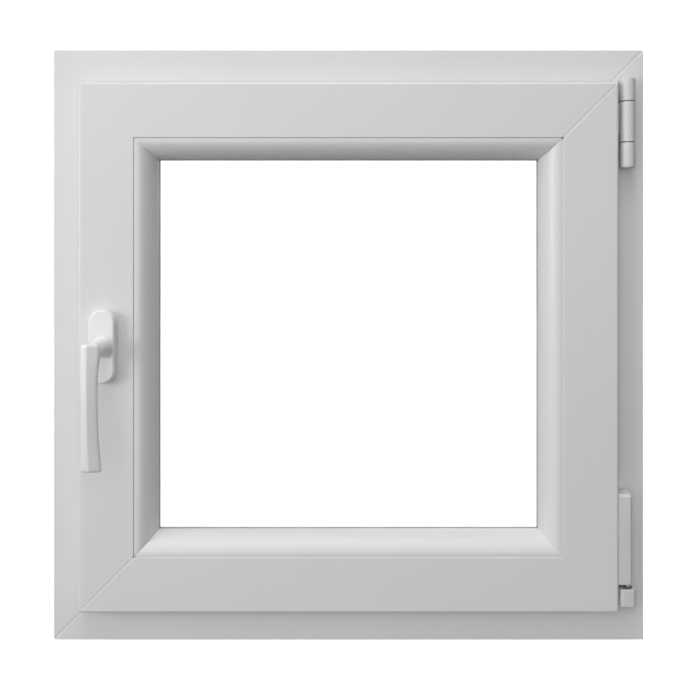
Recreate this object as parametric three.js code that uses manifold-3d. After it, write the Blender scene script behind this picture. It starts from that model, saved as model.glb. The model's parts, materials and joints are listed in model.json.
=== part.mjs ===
// A 600 mm square tilt-and-turn casement window in white PVC-U, closed and locked.
// Millimetres, +Z up. The room is on the -Y side and the weather on the +Y side.
// The origin is the centre of the outer frame's underside.
// The sash turns about a vertical axis at its right edge and tilts about a horizontal one at its foot.

import * as THREE from "three";
import { mergeVertices } from "three/addons/utils/BufferGeometryUtils.js";
import Module from "manifold-3d";

const wasm = await Module();
wasm.setup();

// ---------------------------------------------------------------- driving dimensions

const CLEAR = 0.3; // between neighbouring pieces
const MITRE_GAP = 0.15; // each bar stops this far short of its 45 degree weld plane

const FRAME = {
  size: 600, // outer width and height
  depth: 70,
  innerLeg: 41.5, // height of the room-side leg
  outerLeg: 64, // height of the weather-side leg
  outerLegFace: 21, // y of the outer leg's face towards the sash
  gutter: 4, // depth of the drainage gutter below the rebate
};
const ROOM_FACE = -FRAME.depth / 2; // y of the frame's room face
const CENTRE_Z = FRAME.size / 2;

const SASH = {
  width: 537, // over the overlap flange
  height: 527,
  proud: 18, // the flange's face stands this far in front of the frame
  depth: 70,
  flange: 14, // thickness of the overlap flange
  overhang: 18.5, // flange beyond the sash's body
  face: 53, // flat face between the flange's edge and the bead
  reach: 76, // flange edge to the bead's lip, where the open glass begins
  outerLeg: 66.5, // height of the weather-side glazing leg, hidden behind the bead
};
const SASH_FACE = ROOM_FACE - SASH.proud; // y = -53
const FLANGE_BACK = SASH_FACE + SASH.flange; // y = -39
const SASH_BACK = SASH_FACE + SASH.depth; // y = 17

const GLASS = {
  pane: 4,
  cavity: 16,
  inner: -25, // y of the room-side surface
  edge: 56, // distance of the glass edge from the flange's edge
  seal: 4.5, // width of the secondary seal
  spacer: 5.5, // width of the spacer bar
};

const BEAD = { base: SASH.face + CLEAR, lip: SASH.reach, back: -28 };

const GROOVE = { y: -26, plate: 16, plateDepth: 2.4, slot: 12, slotDepth: 9 }; // hardware groove

const AXIS = { x: 280.6, y: -44 }; // the vertical turn axis, through both hinges
const BALL_Z = 49; // the tilt axis runs along X through the ball in the lower hinge
const TOP_HINGE = { low: 479, jointLow: 505, jointHigh: 546, high: 570, radius: 7.6 };
const LOWER_HINGE = { low: 40.2, bearingTop: 58, coverLow: 63, coverHigh: 154.3 };

const HANDLE = {
  u: 27, // spindle axis from the flange's edge
  z: 302,
  axisY: -104, // centreline of the lever's head
  length: 112, // spindle axis to the lever's end
  head: 9, // lever above the spindle axis
  rosette: { width: 27, height: 72, depth: 11, corner: 13 },
  spindle: 7,
};
const HANDLE_X = -SASH.width / 2 + HANDLE.u;

const GEAR = { module: 1, teeth: 15, addendum: 0.7, dedendum: 1.1, width: 5, tooth: 0.35 };
const PITCH_RADIUS = (GEAR.module * GEAR.teeth) / 2;
const TRAVEL = PITCH_RADIUS * Math.PI; // drive rod travel in the handle's half turn

const STAY = { length: 230, pivot: 140, link: 80, armLow: 550.4, armThick: 2.4, linkLow: 548.3, linkThick: 1.6 };
const PIN_FOOT = 538; // lowest point of the stay's guide pins
const CAM = { stem: 2.6, roller: 4.5 };

// ---------------------------------------------------------------- materials

const plastic = (color, roughness = 0.35) => new THREE.MeshStandardMaterial({ color, roughness, metalness: 0 });
const metal = (color, roughness = 0.4) => new THREE.MeshStandardMaterial({ color, roughness, metalness: 1 });

const MATERIAL = {
  pvc: plastic(0xe9eaea, 0.3),
  cap: plastic(0xeeeeee, 0.4),
  handle: plastic(0xf0f0f0, 0.35),
  rubber: plastic(0x6f7173, 0.8),
  sealant: plastic(0x2a2b2d, 0.7),
  block: plastic(0x2f6fb3, 0.6),
  glass: new THREE.MeshStandardMaterial({ color: 0xe6f2ee, roughness: 0.02, transparent: true, opacity: 0.3 }),
  zinc: metal(0xb9bcc0, 0.35),
  steel: metal(0x9a9da1, 0.5),
  spacer: metal(0xc9ccce, 0.4),
};

// ---------------------------------------------------------------- geometry helpers

// A closed geometry as a solid, and back.
function solid(geometry) {
  const bare = geometry.index ? geometry.toNonIndexed() : geometry.clone();
  bare.deleteAttribute("normal");
  bare.deleteAttribute("uv");
  const merged = mergeVertices(bare, 1e-4);
  return new wasm.Manifold(
    new wasm.Mesh({
      numProp: 3,
      vertProperties: merged.attributes.position.array,
      triVerts: new Uint32Array(merged.index.array),
    }),
  );
}

function geometryOf(manifold) {
  const { numProp, numVert, vertProperties, triVerts } = manifold.getMesh();
  const position = new Float32Array(numVert * 3);
  for (let i = 0; i < numVert; i++) {
    position.set(vertProperties.subarray(i * numProp, i * numProp + 3), i * 3);
  }
  return new THREE.BufferGeometry()
    .setAttribute("position", new THREE.BufferAttribute(position, 3))
    .setIndex(new THREE.BufferAttribute(triVerts, 1));
}

const join = (...geometries) => geometryOf(geometries.map(solid).reduce((a, b) => a.add(b)));
const cut = (body, ...tools) => geometryOf(tools.map(solid).reduce((a, b) => a.subtract(b), solid(body)));

// A box given by its lowest and highest corner.
function box([x0, y0, z0], [x1, y1, z1]) {
  return new THREE.BoxGeometry(x1 - x0, y1 - y0, z1 - z0).translate((x0 + x1) / 2, (y0 + y1) / 2, (z0 + z1) / 2);
}

// Round bars along Z, Y and X, between two places on their axis.
function barZ(x, y, z0, z1, radius, sides = 20) {
  return new THREE.CylinderGeometry(radius, radius, z1 - z0, sides)
    .rotateX(Math.PI / 2)
    .translate(x, y, (z0 + z1) / 2);
}

function barY(x, z, y0, y1, radius, sides = 20) {
  return new THREE.CylinderGeometry(radius, radius, y1 - y0, sides).translate(x, (y0 + y1) / 2, z);
}

function barX(y, z, x0, x1, radius, sides = 20) {
  return new THREE.CylinderGeometry(radius, radius, x1 - x0, sides)
    .rotateZ(Math.PI / 2)
    .translate((x0 + x1) / 2, y, z);
}

// A shape through [x, y, radius] points; a corner with a radius is rounded.
function outline(points) {
  const shape = new THREE.Shape();
  const at = (i) => new THREE.Vector2(...points[(i + points.length) % points.length].slice(0, 2));
  points.forEach(([, , radius = 0], i) => {
    const here = at(i);
    const from = here.clone().add(at(i - 1).sub(here).setLength(radius));
    const to = here.clone().add(at(i + 1).sub(here).setLength(radius));
    if (i === 0) shape.moveTo(from.x, from.y);
    else shape.lineTo(from.x, from.y);
    if (radius > 0) shape.quadraticCurveTo(here.x, here.y, to.x, to.y);
  });
  shape.closePath();
  return shape;
}

const rectangle = (x0, y0, x1, y1, radius = 0) =>
  outline([[x0, y0, radius], [x1, y0, radius], [x1, y1, radius], [x0, y1, radius]]);

// A flat plate: a shape in X and Z, between two values of y.
function plateY(shape, y0, y1, curveSegments = 6) {
  return new THREE.ExtrudeGeometry(shape, { depth: y1 - y0, bevelEnabled: false, curveSegments })
    .rotateX(Math.PI / 2)
    .translate(0, y1, 0);
}

// A flat plate: a shape in X and Y, between two heights.
function plateZ(shape, z0, z1, curveSegments = 6) {
  return new THREE.ExtrudeGeometry(shape, { depth: z1 - z0, bevelEnabled: false, curveSegments }).translate(0, 0, z0);
}

// One side of a mitred rectangle. The section is drawn as (distance from the outer edge, y), and the bar
// comes out as the bottom side of a rectangle that is centred on the origin.
function mitredBar(section, halfLength, halfAcross, curveSegments = 3) {
  const bar = new THREE.ExtrudeGeometry(section, { depth: 1, bevelEnabled: false, curveSegments });
  const position = bar.attributes.position;
  for (let i = 0; i < position.count; i++) {
    const u = position.getX(i);
    const reach = halfLength - u - MITRE_GAP;
    position.setXYZ(i, position.getZ(i) > 0.5 ? -reach : reach, position.getY(i), u - halfAcross);
  }
  return bar;
}

// A closed ring round a rectangle, centred on the origin: the section turned in four steps, then stretched.
function mitredRing(section, width, height) {
  const half = width / 2;
  const loop = section.map(([u, y]) => new THREE.Vector2((half - u) * Math.SQRT2, y));
  if (THREE.ShapeUtils.isClockWise(loop)) loop.reverse();
  const points = [...loop, loop[0]];
  const ring = new THREE.LatheGeometry(points, 4, Math.PI / 4);
  const position = ring.attributes.position;
  for (let i = 0; i < position.count; i++) {
    const z = position.getZ(i);
    position.setZ(i, z + (Math.sign(z) * (height - width)) / 2);
  }
  return ring;
}

// ---------------------------------------------------------------- assembly helpers

const root = new THREE.Group();
const middle = new THREE.Group(); // the window's centre, round which frame, sash and glass are drawn
middle.position.z = CENTRE_Z;
root.add(middle);

function place(name, geometry, material, parent = root, quarterTurns = 0) {
  const mesh = new THREE.Mesh(geometry, material);
  mesh.name = name;
  mesh.rotation.y = (quarterTurns * Math.PI) / 2;
  parent.add(mesh);
  return mesh;
}

// The four sides of a mitred rectangle, each the bottom side turned about Y. Tools cut the named side.
function placeSides(names, section, width, height, material, tools = {}) {
  names.forEach((name, turns) => {
    const upright = turns % 2 === 1;
    const bar = mitredBar(section, (upright ? height : width) / 2, (upright ? width : height) / 2);
    place(name, tools[name] ? cut(bar, ...tools[name]) : bar, material, middle, turns);
  });
}

// ---------------------------------------------------------------- outer frame

const frameSection = outline([
  [0, ROOM_FACE, 1],
  [FRAME.innerLeg, ROOM_FACE, 1.5],
  [FRAME.innerLeg, 6],
  [FRAME.innerLeg - FRAME.gutter, 9],
  [FRAME.innerLeg - FRAME.gutter, FRAME.outerLegFace],
  [56, FRAME.outerLegFace],
  [56, FRAME.outerLegFace + 3.5],
  [60, FRAME.outerLegFace + 3.5],
  [60, FRAME.outerLegFace],
  [FRAME.outerLeg, FRAME.outerLegFace, 1],
  [FRAME.outerLeg - 1.5, -ROOM_FACE, 1.5],
  [0, -ROOM_FACE, 1],
  [0, 22],
  [5, 22],
  [5, 14],
  [0, 14],
  [0, -14],
  [5, -14],
  [5, -22],
  [0, -22],
]);
// Room chamber, steel chamber, drainage chamber and weather chamber.
const FRAME_STEEL_CHAMBER = { u0: 8, u1: 38.5, y0: -18, y1: 5 };
frameSection.holes = [
  rectangle(8, -32.2, 38.7, -20),
  rectangle(FRAME_STEEL_CHAMBER.u0, FRAME_STEEL_CHAMBER.y0, FRAME_STEEL_CHAMBER.u1, FRAME_STEEL_CHAMBER.y1),
  rectangle(8, 9, 34.8, 19),
  outline([[3, 26.6], [59.5, 26.6], [59.5, 32.2], [3, 32.2]]),
];

function drainSlot(x, y0, y1, u) {
  const half = 14;
  const slot = new THREE.Shape();
  slot.absarc(half, 0, 2.5, -Math.PI / 2, Math.PI / 2);
  slot.absarc(-half, 0, 2.5, Math.PI / 2, (3 * Math.PI) / 2);
  return plateY(slot, y0, y1, 5).translate(x, 0, u - FRAME.size / 2);
}

placeSides(
  ["frame_sill", "frame_jamb_left", "frame_head", "frame_jamb_right"],
  frameSection,
  FRAME.size,
  FRAME.size,
  MATERIAL.pvc,
  { frame_sill: [drainSlot(-190, 30, 37, 16), drainSlot(190, 30, 37, 16)] },
);

// C-shaped galvanised steel bars, square cut, lying in a chamber with its open side towards the rebate.
function steelBar({ u0, u1, y0, y1 }, halfLength, halfAcross) {
  const wall = 1.5;
  const channel = outline([
    [u0 + 0.5, y0 + 0.5],
    [u1 - 0.5, y0 + 0.5],
    [u1 - 0.5, y0 + 0.5 + wall],
    [u0 + 0.5 + wall, y0 + 0.5 + wall],
    [u0 + 0.5 + wall, y1 - 0.5 - wall],
    [u1 - 0.5, y1 - 0.5 - wall],
    [u1 - 0.5, y1 - 0.5],
    [u0 + 0.5, y1 - 0.5],
  ]);
  return new THREE.ExtrudeGeometry(channel, { depth: 2 * halfLength, bevelEnabled: false })
    .translate(-halfAcross, 0, -halfLength)
    .rotateY(-Math.PI / 2);
}

["frame_steel_sill", "frame_steel_left", "frame_steel_head", "frame_steel_right"].forEach((name, turns) => {
  place(name, steelBar(FRAME_STEEL_CHAMBER, 255, FRAME.size / 2), MATERIAL.steel, middle, turns);
});

// Seal on the weather-side leg, facing the sash's back.
const frameGasket = [
  [56.4, FRAME.outerLegFace + 3.2],
  [59.6, FRAME.outerLegFace + 3.2],
  [59.6, FRAME.outerLegFace - CLEAR],
  [62.6, FRAME.outerLegFace - CLEAR],
  [62.6, FRAME.outerLegFace - 1],
  [59, SASH_BACK + 0.5],
  [55, FRAME.outerLegFace - 2.2],
  [54.4, FRAME.outerLegFace - CLEAR],
  [56.4, FRAME.outerLegFace - CLEAR],
];
place("frame_gasket", mitredRing(frameGasket, FRAME.size, FRAME.size), MATERIAL.rubber, middle);

// ---------------------------------------------------------------- sash

const BODY_U = SASH.overhang; // the body's outer side, from the flange's edge
const STEP_U = BODY_U + GROOVE.plateDepth + CLEAR;
const FLOOR_U = BODY_U + GROOVE.slotDepth;
const PLATE_HALF = GROOVE.plate / 2 + CLEAR;
const SLOT_HALF = GROOVE.slot / 2;
const OUTER_LEG = 2; // y of the weather-side glazing leg's face towards the glass
const SEAL_SLOT = { u0: 58, u1: 62, depth: 3 }; // holds the outer glazing gasket

const sashSection = outline([
  [0, SASH_FACE, 3],
  [SASH.face, SASH_FACE, 0.6],
  [SASH.face, -46],
  [SASH.face - 3, -46],
  [SASH.face - 3, -41],
  [SASH.face, -41],
  [SASH.face, OUTER_LEG],
  [SEAL_SLOT.u0, OUTER_LEG],
  [SEAL_SLOT.u0, OUTER_LEG + SEAL_SLOT.depth],
  [SEAL_SLOT.u1, OUTER_LEG + SEAL_SLOT.depth],
  [SEAL_SLOT.u1, OUTER_LEG],
  [SASH.outerLeg, OUTER_LEG, 0.8],
  [SASH.outerLeg - 4.5, SASH_BACK, 2],
  [BODY_U, SASH_BACK, 2],
  [BODY_U, GROOVE.y + PLATE_HALF],
  [STEP_U, GROOVE.y + PLATE_HALF],
  [STEP_U, GROOVE.y + SLOT_HALF],
  [FLOOR_U, GROOVE.y + SLOT_HALF],
  [FLOOR_U, GROOVE.y - SLOT_HALF],
  [STEP_U, GROOVE.y - SLOT_HALF],
  [STEP_U, GROOVE.y - PLATE_HALF],
  [BODY_U, GROOVE.y - PLATE_HALF],
  [BODY_U, FLANGE_BACK],
  [10, FLANGE_BACK],
  [10, FLANGE_BACK - 3],
  [6, FLANGE_BACK - 3],
  [6, FLANGE_BACK],
  [0, FLANGE_BACK, 1],
]);
const SASH_STEEL_CHAMBER = { u0: 30, u1: 50, y0: -38.5, y1: -7 };
const SASH_STEEL = { ...SASH_STEEL_CHAMBER, u0: 40.3 };
sashSection.holes = [
  rectangle(3, -50.2, 46.5, -44.8),
  rectangle(SASH_STEEL_CHAMBER.u0, SASH_STEEL_CHAMBER.y0, SASH_STEEL_CHAMBER.u1, SASH_STEEL_CHAMBER.y1),
  rectangle(BODY_U + 3, -5, 50, 6.5),
  rectangle(BODY_U + 3, 8, 60.5, 14.2),
];

const GEAR_CASE = { u0: 21.2, u1: 39.4, y0: -33, y1: -19, z0: 258, z1: 350 };

// Tools that cut the handle-side stile, drawn on the bottom side of the rectangle before its quarter turn,
// where height becomes -x.
function handleSideTools() {
  const across = -SASH.width / 2;
  const pocket = box(
    [-(GEAR_CASE.z1 + 1 - CENTRE_Z), GEAR_CASE.y0 - 0.5, across + BODY_U + 2],
    [-(GEAR_CASE.z0 - 1 - CENTRE_Z), GEAR_CASE.y1 + 0.5, across + GEAR_CASE.u1 + 0.5],
  );
  const spindleHole = barY(-(HANDLE.z - CENTRE_Z), across + HANDLE.u, -60, -30, 6.5);
  return [pocket, spindleHole];
}

placeSides(
  ["sash_bottom_rail", "sash_stile_left", "sash_top_rail", "sash_stile_right"],
  sashSection,
  SASH.width,
  SASH.height,
  MATERIAL.pvc,
  { sash_stile_left: handleSideTools() },
);

["sash_steel_bottom", "sash_steel_left", "sash_steel_top", "sash_steel_right"].forEach((name, turns) => {
  const upright = turns % 2 === 1;
  const halfLength = upright ? 205 : 210;
  const bar = steelBar(SASH_STEEL, halfLength, (upright ? SASH.width : SASH.height) / 2);
  place(name, bar, MATERIAL.steel, middle, turns);
});

// Seal under the overlap flange, facing the frame. Its lip is cut away where the two hinge leaves pass.
const sashGasket = [
  [6.4, FLANGE_BACK - 2.6],
  [9.6, FLANGE_BACK - 2.6],
  [9.6, FLANGE_BACK + CLEAR],
  [12, FLANGE_BACK + CLEAR],
  [9, FLANGE_BACK + 3],
  [6, FLANGE_BACK + 3],
  [4, FLANGE_BACK + CLEAR],
  [6.4, FLANGE_BACK + CLEAR],
];
const hingeNotch = (z0, z1) =>
  box([SASH.width / 2 - 14, FLANGE_BACK + 0.1, z0 - CENTRE_Z], [SASH.width / 2, FLANGE_BACK + 5, z1 - CENTRE_Z]);
place(
  "sash_gasket",
  cut(mitredRing(sashGasket, SASH.width, SASH.height), hingeNotch(66, 153), hingeNotch(511, 556)),
  MATERIAL.rubber,
  middle,
);

// ---------------------------------------------------------------- glazing beads

// An ovolo bead: a narrow flat, a convex quarter that ends steeply, and a lip against the glass gasket.
const beadSection = outline([
  [BEAD.base, SASH_FACE + 0.4, 0.8],
  [58, SASH_FACE + 0.4],
  [62.3, SASH_FACE + 2],
  [65, SASH_FACE + 3.7],
  [67.4, SASH_FACE + 5.8],
  [69.8, SASH_FACE + 8.4],
  [72, SASH_FACE + 11.8],
  [74.2, SASH_FACE + 16],
  [BEAD.lip, SASH_FACE + 20.4],
  [BEAD.lip, BEAD.back - 1, 0.5],
  [73.5, BEAD.back],
  [70.6, BEAD.back],
  [70.6, BEAD.back - 3.4],
  [66.6, BEAD.back - 3.4],
  [66.6, BEAD.back],
  [59, BEAD.back],
  [59, -41.4],
  [BEAD.base - 2.8, -41.4],
  [BEAD.base - 2.8, -45.4],
  [BEAD.base, -45.4],
]);
beadSection.holes = [outline([[60.5, -47], [64.5, -45], [68.6, -38], [69.5, -33], [61, -33]])];

placeSides(
  ["bead_bottom", "bead_left", "bead_top", "bead_right"],
  beadSection,
  SASH.width,
  SASH.height,
  MATERIAL.pvc,
);

// ---------------------------------------------------------------- insulating glass unit

const glassWidth = SASH.width - 2 * GLASS.edge;
const glassHeight = SASH.height - 2 * GLASS.edge;
const CAVITY = { y0: GLASS.inner + GLASS.pane + 0.2, y1: GLASS.inner + GLASS.pane + GLASS.cavity - 0.2 };
const GLASS_OUTER = GLASS.inner + 2 * GLASS.pane + GLASS.cavity; // y of the weather-side surface

const pane = (y0) =>
  box([-glassWidth / 2, y0, -glassHeight / 2], [glassWidth / 2, y0 + GLASS.pane, glassHeight / 2]);
place("glass_pane_inner", pane(GLASS.inner), MATERIAL.glass, middle);
place("glass_pane_outer", pane(GLASS_OUTER - GLASS.pane), MATERIAL.glass, middle);

const bandRing = (u0, u1) =>
  mitredRing([[u0, CAVITY.y1], [u1, CAVITY.y1], [u1, CAVITY.y0], [u0, CAVITY.y0]], SASH.width, SASH.height);
const spacerEdge = GLASS.edge + GLASS.seal;
place("glass_edge_seal", bandRing(GLASS.edge + 0.2, spacerEdge - 0.2), MATERIAL.sealant, middle);
place("glass_spacer", bandRing(spacerEdge, spacerEdge + GLASS.spacer), MATERIAL.spacer, middle);

const glazingGasketInner = [
  [67, BEAD.back - 3],
  [67, BEAD.back + CLEAR],
  [66, BEAD.back + CLEAR],
  [66.5, GLASS.inner - CLEAR],
  [75.6, GLASS.inner - CLEAR],
  [75.8, BEAD.back + CLEAR],
  [70.2, BEAD.back + CLEAR],
  [70.2, BEAD.back - 3],
];
place("glazing_gasket_inner", mitredRing(glazingGasketInner, SASH.width, SASH.height), MATERIAL.rubber, middle);

const glazingGasketOuter = [
  [SEAL_SLOT.u0 + 0.4, OUTER_LEG + 2.6],
  [SEAL_SLOT.u1 - 0.4, OUTER_LEG + 2.6],
  [SEAL_SLOT.u1 - 0.4, OUTER_LEG - CLEAR],
  [SASH.outerLeg, OUTER_LEG - CLEAR],
  [SASH.outerLeg, GLASS_OUTER + CLEAR],
  [57, GLASS_OUTER + CLEAR],
  [57, OUTER_LEG - CLEAR],
  [SEAL_SLOT.u0 + 0.4, OUTER_LEG - CLEAR],
];
place("glazing_gasket_outer", mitredRing(glazingGasketOuter, SASH.width, SASH.height), MATERIAL.rubber, middle);

// Two setting blocks carry the glass on the bottom rail.
const BLOCK_FLOOR = -SASH.height / 2 + SASH.face + CLEAR;
[["setting_block_left", -130], ["setting_block_right", 130]].forEach(([name, x]) => {
  const top = BLOCK_FLOOR + GLASS.edge - SASH.face - 2 * CLEAR;
  place(name, box([x - 40, GLASS.inner + 1, BLOCK_FLOOR], [x + 40, GLASS_OUTER - 1, top]), MATERIAL.block, middle);
});

// ---------------------------------------------------------------- handle

const { rosette } = HANDLE;
const rosetteShape = (inset) =>
  rectangle(
    HANDLE_X - rosette.width / 2 + inset,
    HANDLE.z - rosette.height / 2 + inset,
    HANDLE_X + rosette.width / 2 - inset,
    HANDLE.z + rosette.height / 2 - inset,
    rosette.corner - inset,
  );

function handleBase() {
  const plate = plateY(rosetteShape(3), SASH_FACE - 4, SASH_FACE - CLEAR);
  return cut(plate, barY(HANDLE_X, HANDLE.z, SASH_FACE - 6, SASH_FACE + 1, 5.6));
}

// The cover is a cup over the base, stepped in twice towards its face, with a round hole for the neck.
function handleCover() {
  const back = SASH_FACE - CLEAR;
  const front = SASH_FACE - rosette.depth;
  const shell = join(
    plateY(rosetteShape(0), front + 3, back),
    plateY(rosetteShape(1.2), front + 1.2, front + 4),
    plateY(rosetteShape(3), front, front + 2),
  );
  const hollow = plateY(rosetteShape(2.4), front + 3, back + 1);
  return cut(shell, hollow, barY(HANDLE_X, HANDLE.z, front - 1, back, 9.8, 24));
}

// The lever is a cylinder drawn out into an oval bar that widens and leans back towards its end.
const NECK_RADIUS = 9.2;
function handleLever() {
  const total = HANDLE.head + HANDLE.length;
  const bar = new THREE.CylinderGeometry(1, 1, 1, 16, 12);
  const position = bar.attributes.position;
  for (let i = 0; i < position.count; i++) {
    const t = 0.5 - position.getY(i); // 0 at the head, 1 at the end
    const below = Math.max(0, t * total - HANDLE.head) / HANDLE.length; // 0 at the spindle axis
    const taper = t < 0.02 || t > 0.98 ? 0.86 : 1;
    const halfWidth = (8.2 - 0.3 * Math.sin(Math.PI * below) + 2 * below ** 4) * taper;
    const halfDepth = (6.2 - 1.4 * below) * taper;
    const lean = 1.5 * Math.sin(Math.PI * below) - 5.5 * below ** 2;
    position.setXYZ(
      i,
      HANDLE_X + position.getX(i) * halfWidth,
      HANDLE.axisY - lean + position.getZ(i) * halfDepth,
      HANDLE.z + HANDLE.head - t * total,
    );
  }
  // A cylinder's Y axis became -Z above, which mirrors it, so its faces are turned round.
  const index = bar.index.array;
  for (let i = 0; i < index.length; i += 3) [index[i], index[i + 1]] = [index[i + 1], index[i]];

  const neckProfile = [
    [0, SASH_FACE - 5],
    [NECK_RADIUS, SASH_FACE - 5],
    [NECK_RADIUS, SASH_FACE - 13],
    [7.6, SASH_FACE - 20],
    [7, SASH_FACE - 34],
    [7.4, HANDLE.axisY],
    [0, HANDLE.axisY - 3],
  ].map(([radius, y]) => new THREE.Vector2(radius, y));
  const neck = new THREE.LatheGeometry(neckProfile.reverse(), 20).translate(HANDLE_X, 0, HANDLE.z);
  const socket = HANDLE.spindle / 2 + CLEAR;
  return cut(
    join(bar, neck),
    box(
      [HANDLE_X - socket, HANDLE.axisY + 12, HANDLE.z - socket],
      [HANDLE_X + socket, SASH_FACE, HANDLE.z + socket],
    ),
  );
}

function handleSpindle() {
  const half = HANDLE.spindle / 2;
  return box(
    [HANDLE_X - half, HANDLE.axisY + 12.5, HANDLE.z - half],
    [HANDLE_X + half, GROOVE.y + GEAR.width / 2 + 0.3, HANDLE.z + half],
  );
}

place("handle_base", handleBase(), MATERIAL.zinc);
place("handle_cover", handleCover(), MATERIAL.cap);
place("handle_lever", handleLever(), MATERIAL.handle);
place("handle_spindle", handleSpindle(), MATERIAL.zinc);

// ---------------------------------------------------------------- espagnolette

// Straight-flanked teeth, thin enough to run free.
const TOOTH_PITCH = Math.PI * GEAR.module;

function pinion() {
  const shape = new THREE.Shape();
  const root = PITCH_RADIUS - GEAR.dedendum;
  const tip = PITCH_RADIUS + GEAR.addendum;
  const step = (2 * Math.PI) / GEAR.teeth;
  for (let i = 0; i < GEAR.teeth; i++) {
    const centre = i * step;
    [
      [root, -0.6 * GEAR.tooth],
      [tip, -0.36 * GEAR.tooth],
      [tip, 0.36 * GEAR.tooth],
      [root, 0.6 * GEAR.tooth],
    ].forEach(([radius, part], k) => {
      const angle = centre + part * step;
      const point = [radius * Math.cos(angle), radius * Math.sin(angle)];
      if (i === 0 && k === 0) shape.moveTo(...point);
      else shape.lineTo(...point);
    });
  }
  const socket = HANDLE.spindle / 2 + CLEAR;
  shape.holes = [rectangle(-socket, -socket, socket, socket)];
  return plateY(shape, GROOVE.y - GEAR.width / 2, GROOVE.y + GEAR.width / 2).translate(HANDLE_X, 0, HANDLE.z);
}
place("follower_pinion", pinion(), MATERIAL.zinc);

const RACK_X = HANDLE_X + PITCH_RADIUS; // the rack's pitch line, on the glass side of the pinion

// A rack whose spaces line up with the pinion's teeth. It is long enough below for its foot to stay clear of
// the pinion at full travel.
const GEAR_REACH = PITCH_RADIUS + GEAR.addendum + 0.6;
const RACK = {
  lowest: -Math.ceil((TRAVEL + GEAR_REACH) / TOOTH_PITCH),
  highest: 1,
  root: RACK_X + GEAR.dedendum,
  back: RACK_X + GEAR.dedendum + 1.6,
};
RACK.low = HANDLE.z + (RACK.lowest - 0.5) * TOOTH_PITCH;
RACK.high = HANDLE.z + (RACK.highest + 1.5) * TOOTH_PITCH;

function rack() {
  const points = [[RACK.back, RACK.low], [RACK.root, RACK.low]];
  for (let i = RACK.lowest; i <= RACK.highest; i++) {
    const centre = HANDLE.z + (i + 0.5) * TOOTH_PITCH;
    [
      [RACK.root, -0.6],
      [RACK_X - GEAR.addendum, -0.36],
      [RACK_X - GEAR.addendum, 0.36],
      [RACK.root, 0.6],
    ].forEach(([x, part]) => points.push([x, centre + part * GEAR.tooth * TOOTH_PITCH]));
  }
  points.push([RACK.root, RACK.high], [RACK.back, RACK.high]);
  return plateY(outline(points), GROOVE.y - 3, GROOVE.y + 3);
}

// Rod plates lie behind the faceplates, at this distance from the flange's edge.
const ROD = { u0: BODY_U + GROOVE.plateDepth + 0.5, thick: 2, half: 4.4 };
const sideX = (u) => -SASH.width / 2 + u;
const topZ = (u) => CENTRE_Z + SASH.height / 2 - u;
const bottomZ = (u) => CENTRE_Z - SASH.height / 2 + u;

const CAMS = { sideUpper: 430, sideLower: 170, top: -120, bottom: -150 };

// The side rod passes the pinion as a narrow strip behind it, with the rack on the pinion's far side.
function driveRodSide() {
  const x0 = sideX(ROD.u0);
  const x1 = x0 + ROD.thick;
  const y0 = GROOVE.y - ROD.half;
  const y1 = GROOVE.y + ROD.half;
  const rod = box([x0, y0, 110], [x1, y1, 462]);
  const window = box(
    [x0 - 1, y0 - 1, HANDLE.z - GEAR_REACH - TRAVEL],
    [x1 + 1, GROOVE.y + 3.1, HANDLE.z + GEAR_REACH + 2],
  );
  const foot = box([x0, GROOVE.y - 3, RACK.low - 5], [RACK.back, GROOVE.y + 3, RACK.low + 0.5]);
  const bridgeLow = HANDLE.z + GEAR_REACH + 1.8;
  const bridge = box([x0, GROOVE.y - 3, bridgeLow], [RACK.back, GROOVE.y + 3, bridgeLow + 4]);
  const strap = box([RACK.root, GROOVE.y - 3, RACK.high - 0.5], [RACK.back, GROOVE.y + 3, bridgeLow + 4]);
  const cams = [CAMS.sideUpper, CAMS.sideLower].flatMap((z) => [
    barX(GROOVE.y, z, sideX(BODY_U) - 3, x0 + 0.5, CAM.stem, 14),
    barX(GROOVE.y, z, sideX(BODY_U) - 5.8, sideX(BODY_U) - 0.5, CAM.roller, 18),
  ]);
  return join(cut(rod, window), rack(), foot, bridge, strap, ...cams);
}

function driveRodTop() {
  const z1 = topZ(ROD.u0);
  const z0 = z1 - ROD.thick;
  return join(
    box([-205, GROOVE.y - ROD.half, z0], [-20, GROOVE.y + ROD.half, z1]),
    barZ(CAMS.top, GROOVE.y, z1 - 0.5, topZ(BODY_U) + 3, CAM.stem, 14),
    barZ(CAMS.top, GROOVE.y, topZ(BODY_U) + 0.5, topZ(BODY_U) + 8.5, CAM.roller, 18),
  );
}

function driveRodBottom() {
  const z0 = bottomZ(ROD.u0);
  const z1 = z0 + ROD.thick;
  return join(
    box([-181, GROOVE.y - ROD.half, z0], [-60, GROOVE.y + ROD.half, z1]),
    barZ(CAMS.bottom, GROOVE.y, bottomZ(BODY_U) - 3, z0 + 0.5, CAM.stem, 14),
    barZ(CAMS.bottom, GROOVE.y, bottomZ(BODY_U) - 9, bottomZ(BODY_U) - 0.5, CAM.roller, 18),
  );
}

place("drive_rod_side", driveRodSide(), MATERIAL.zinc);
place("drive_rod_top", driveRodTop(), MATERIAL.zinc);
place("drive_rod_bottom", driveRodBottom(), MATERIAL.zinc);

// The gear case is an open-ended channel round pinion and rack, under the side faceplate.
function gearCase() {
  const { u0, u1, y0, y1, z0, z1 } = GEAR_CASE;
  const wall = 1.6;
  const block = box([sideX(u0 + 4.5), y0, z0], [sideX(u1), y1, z1]);
  const inside = box([sideX(u0 + 3), y0 + wall, z0 - 1], [sideX(u1 - wall), y1 - wall, z1 + 1]);
  return cut(block, inside, barY(HANDLE_X, HANDLE.z, y0 - 1, y0 + wall + 1, 5.6));
}
place("gear_case", gearCase(), MATERIAL.zinc);

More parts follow.
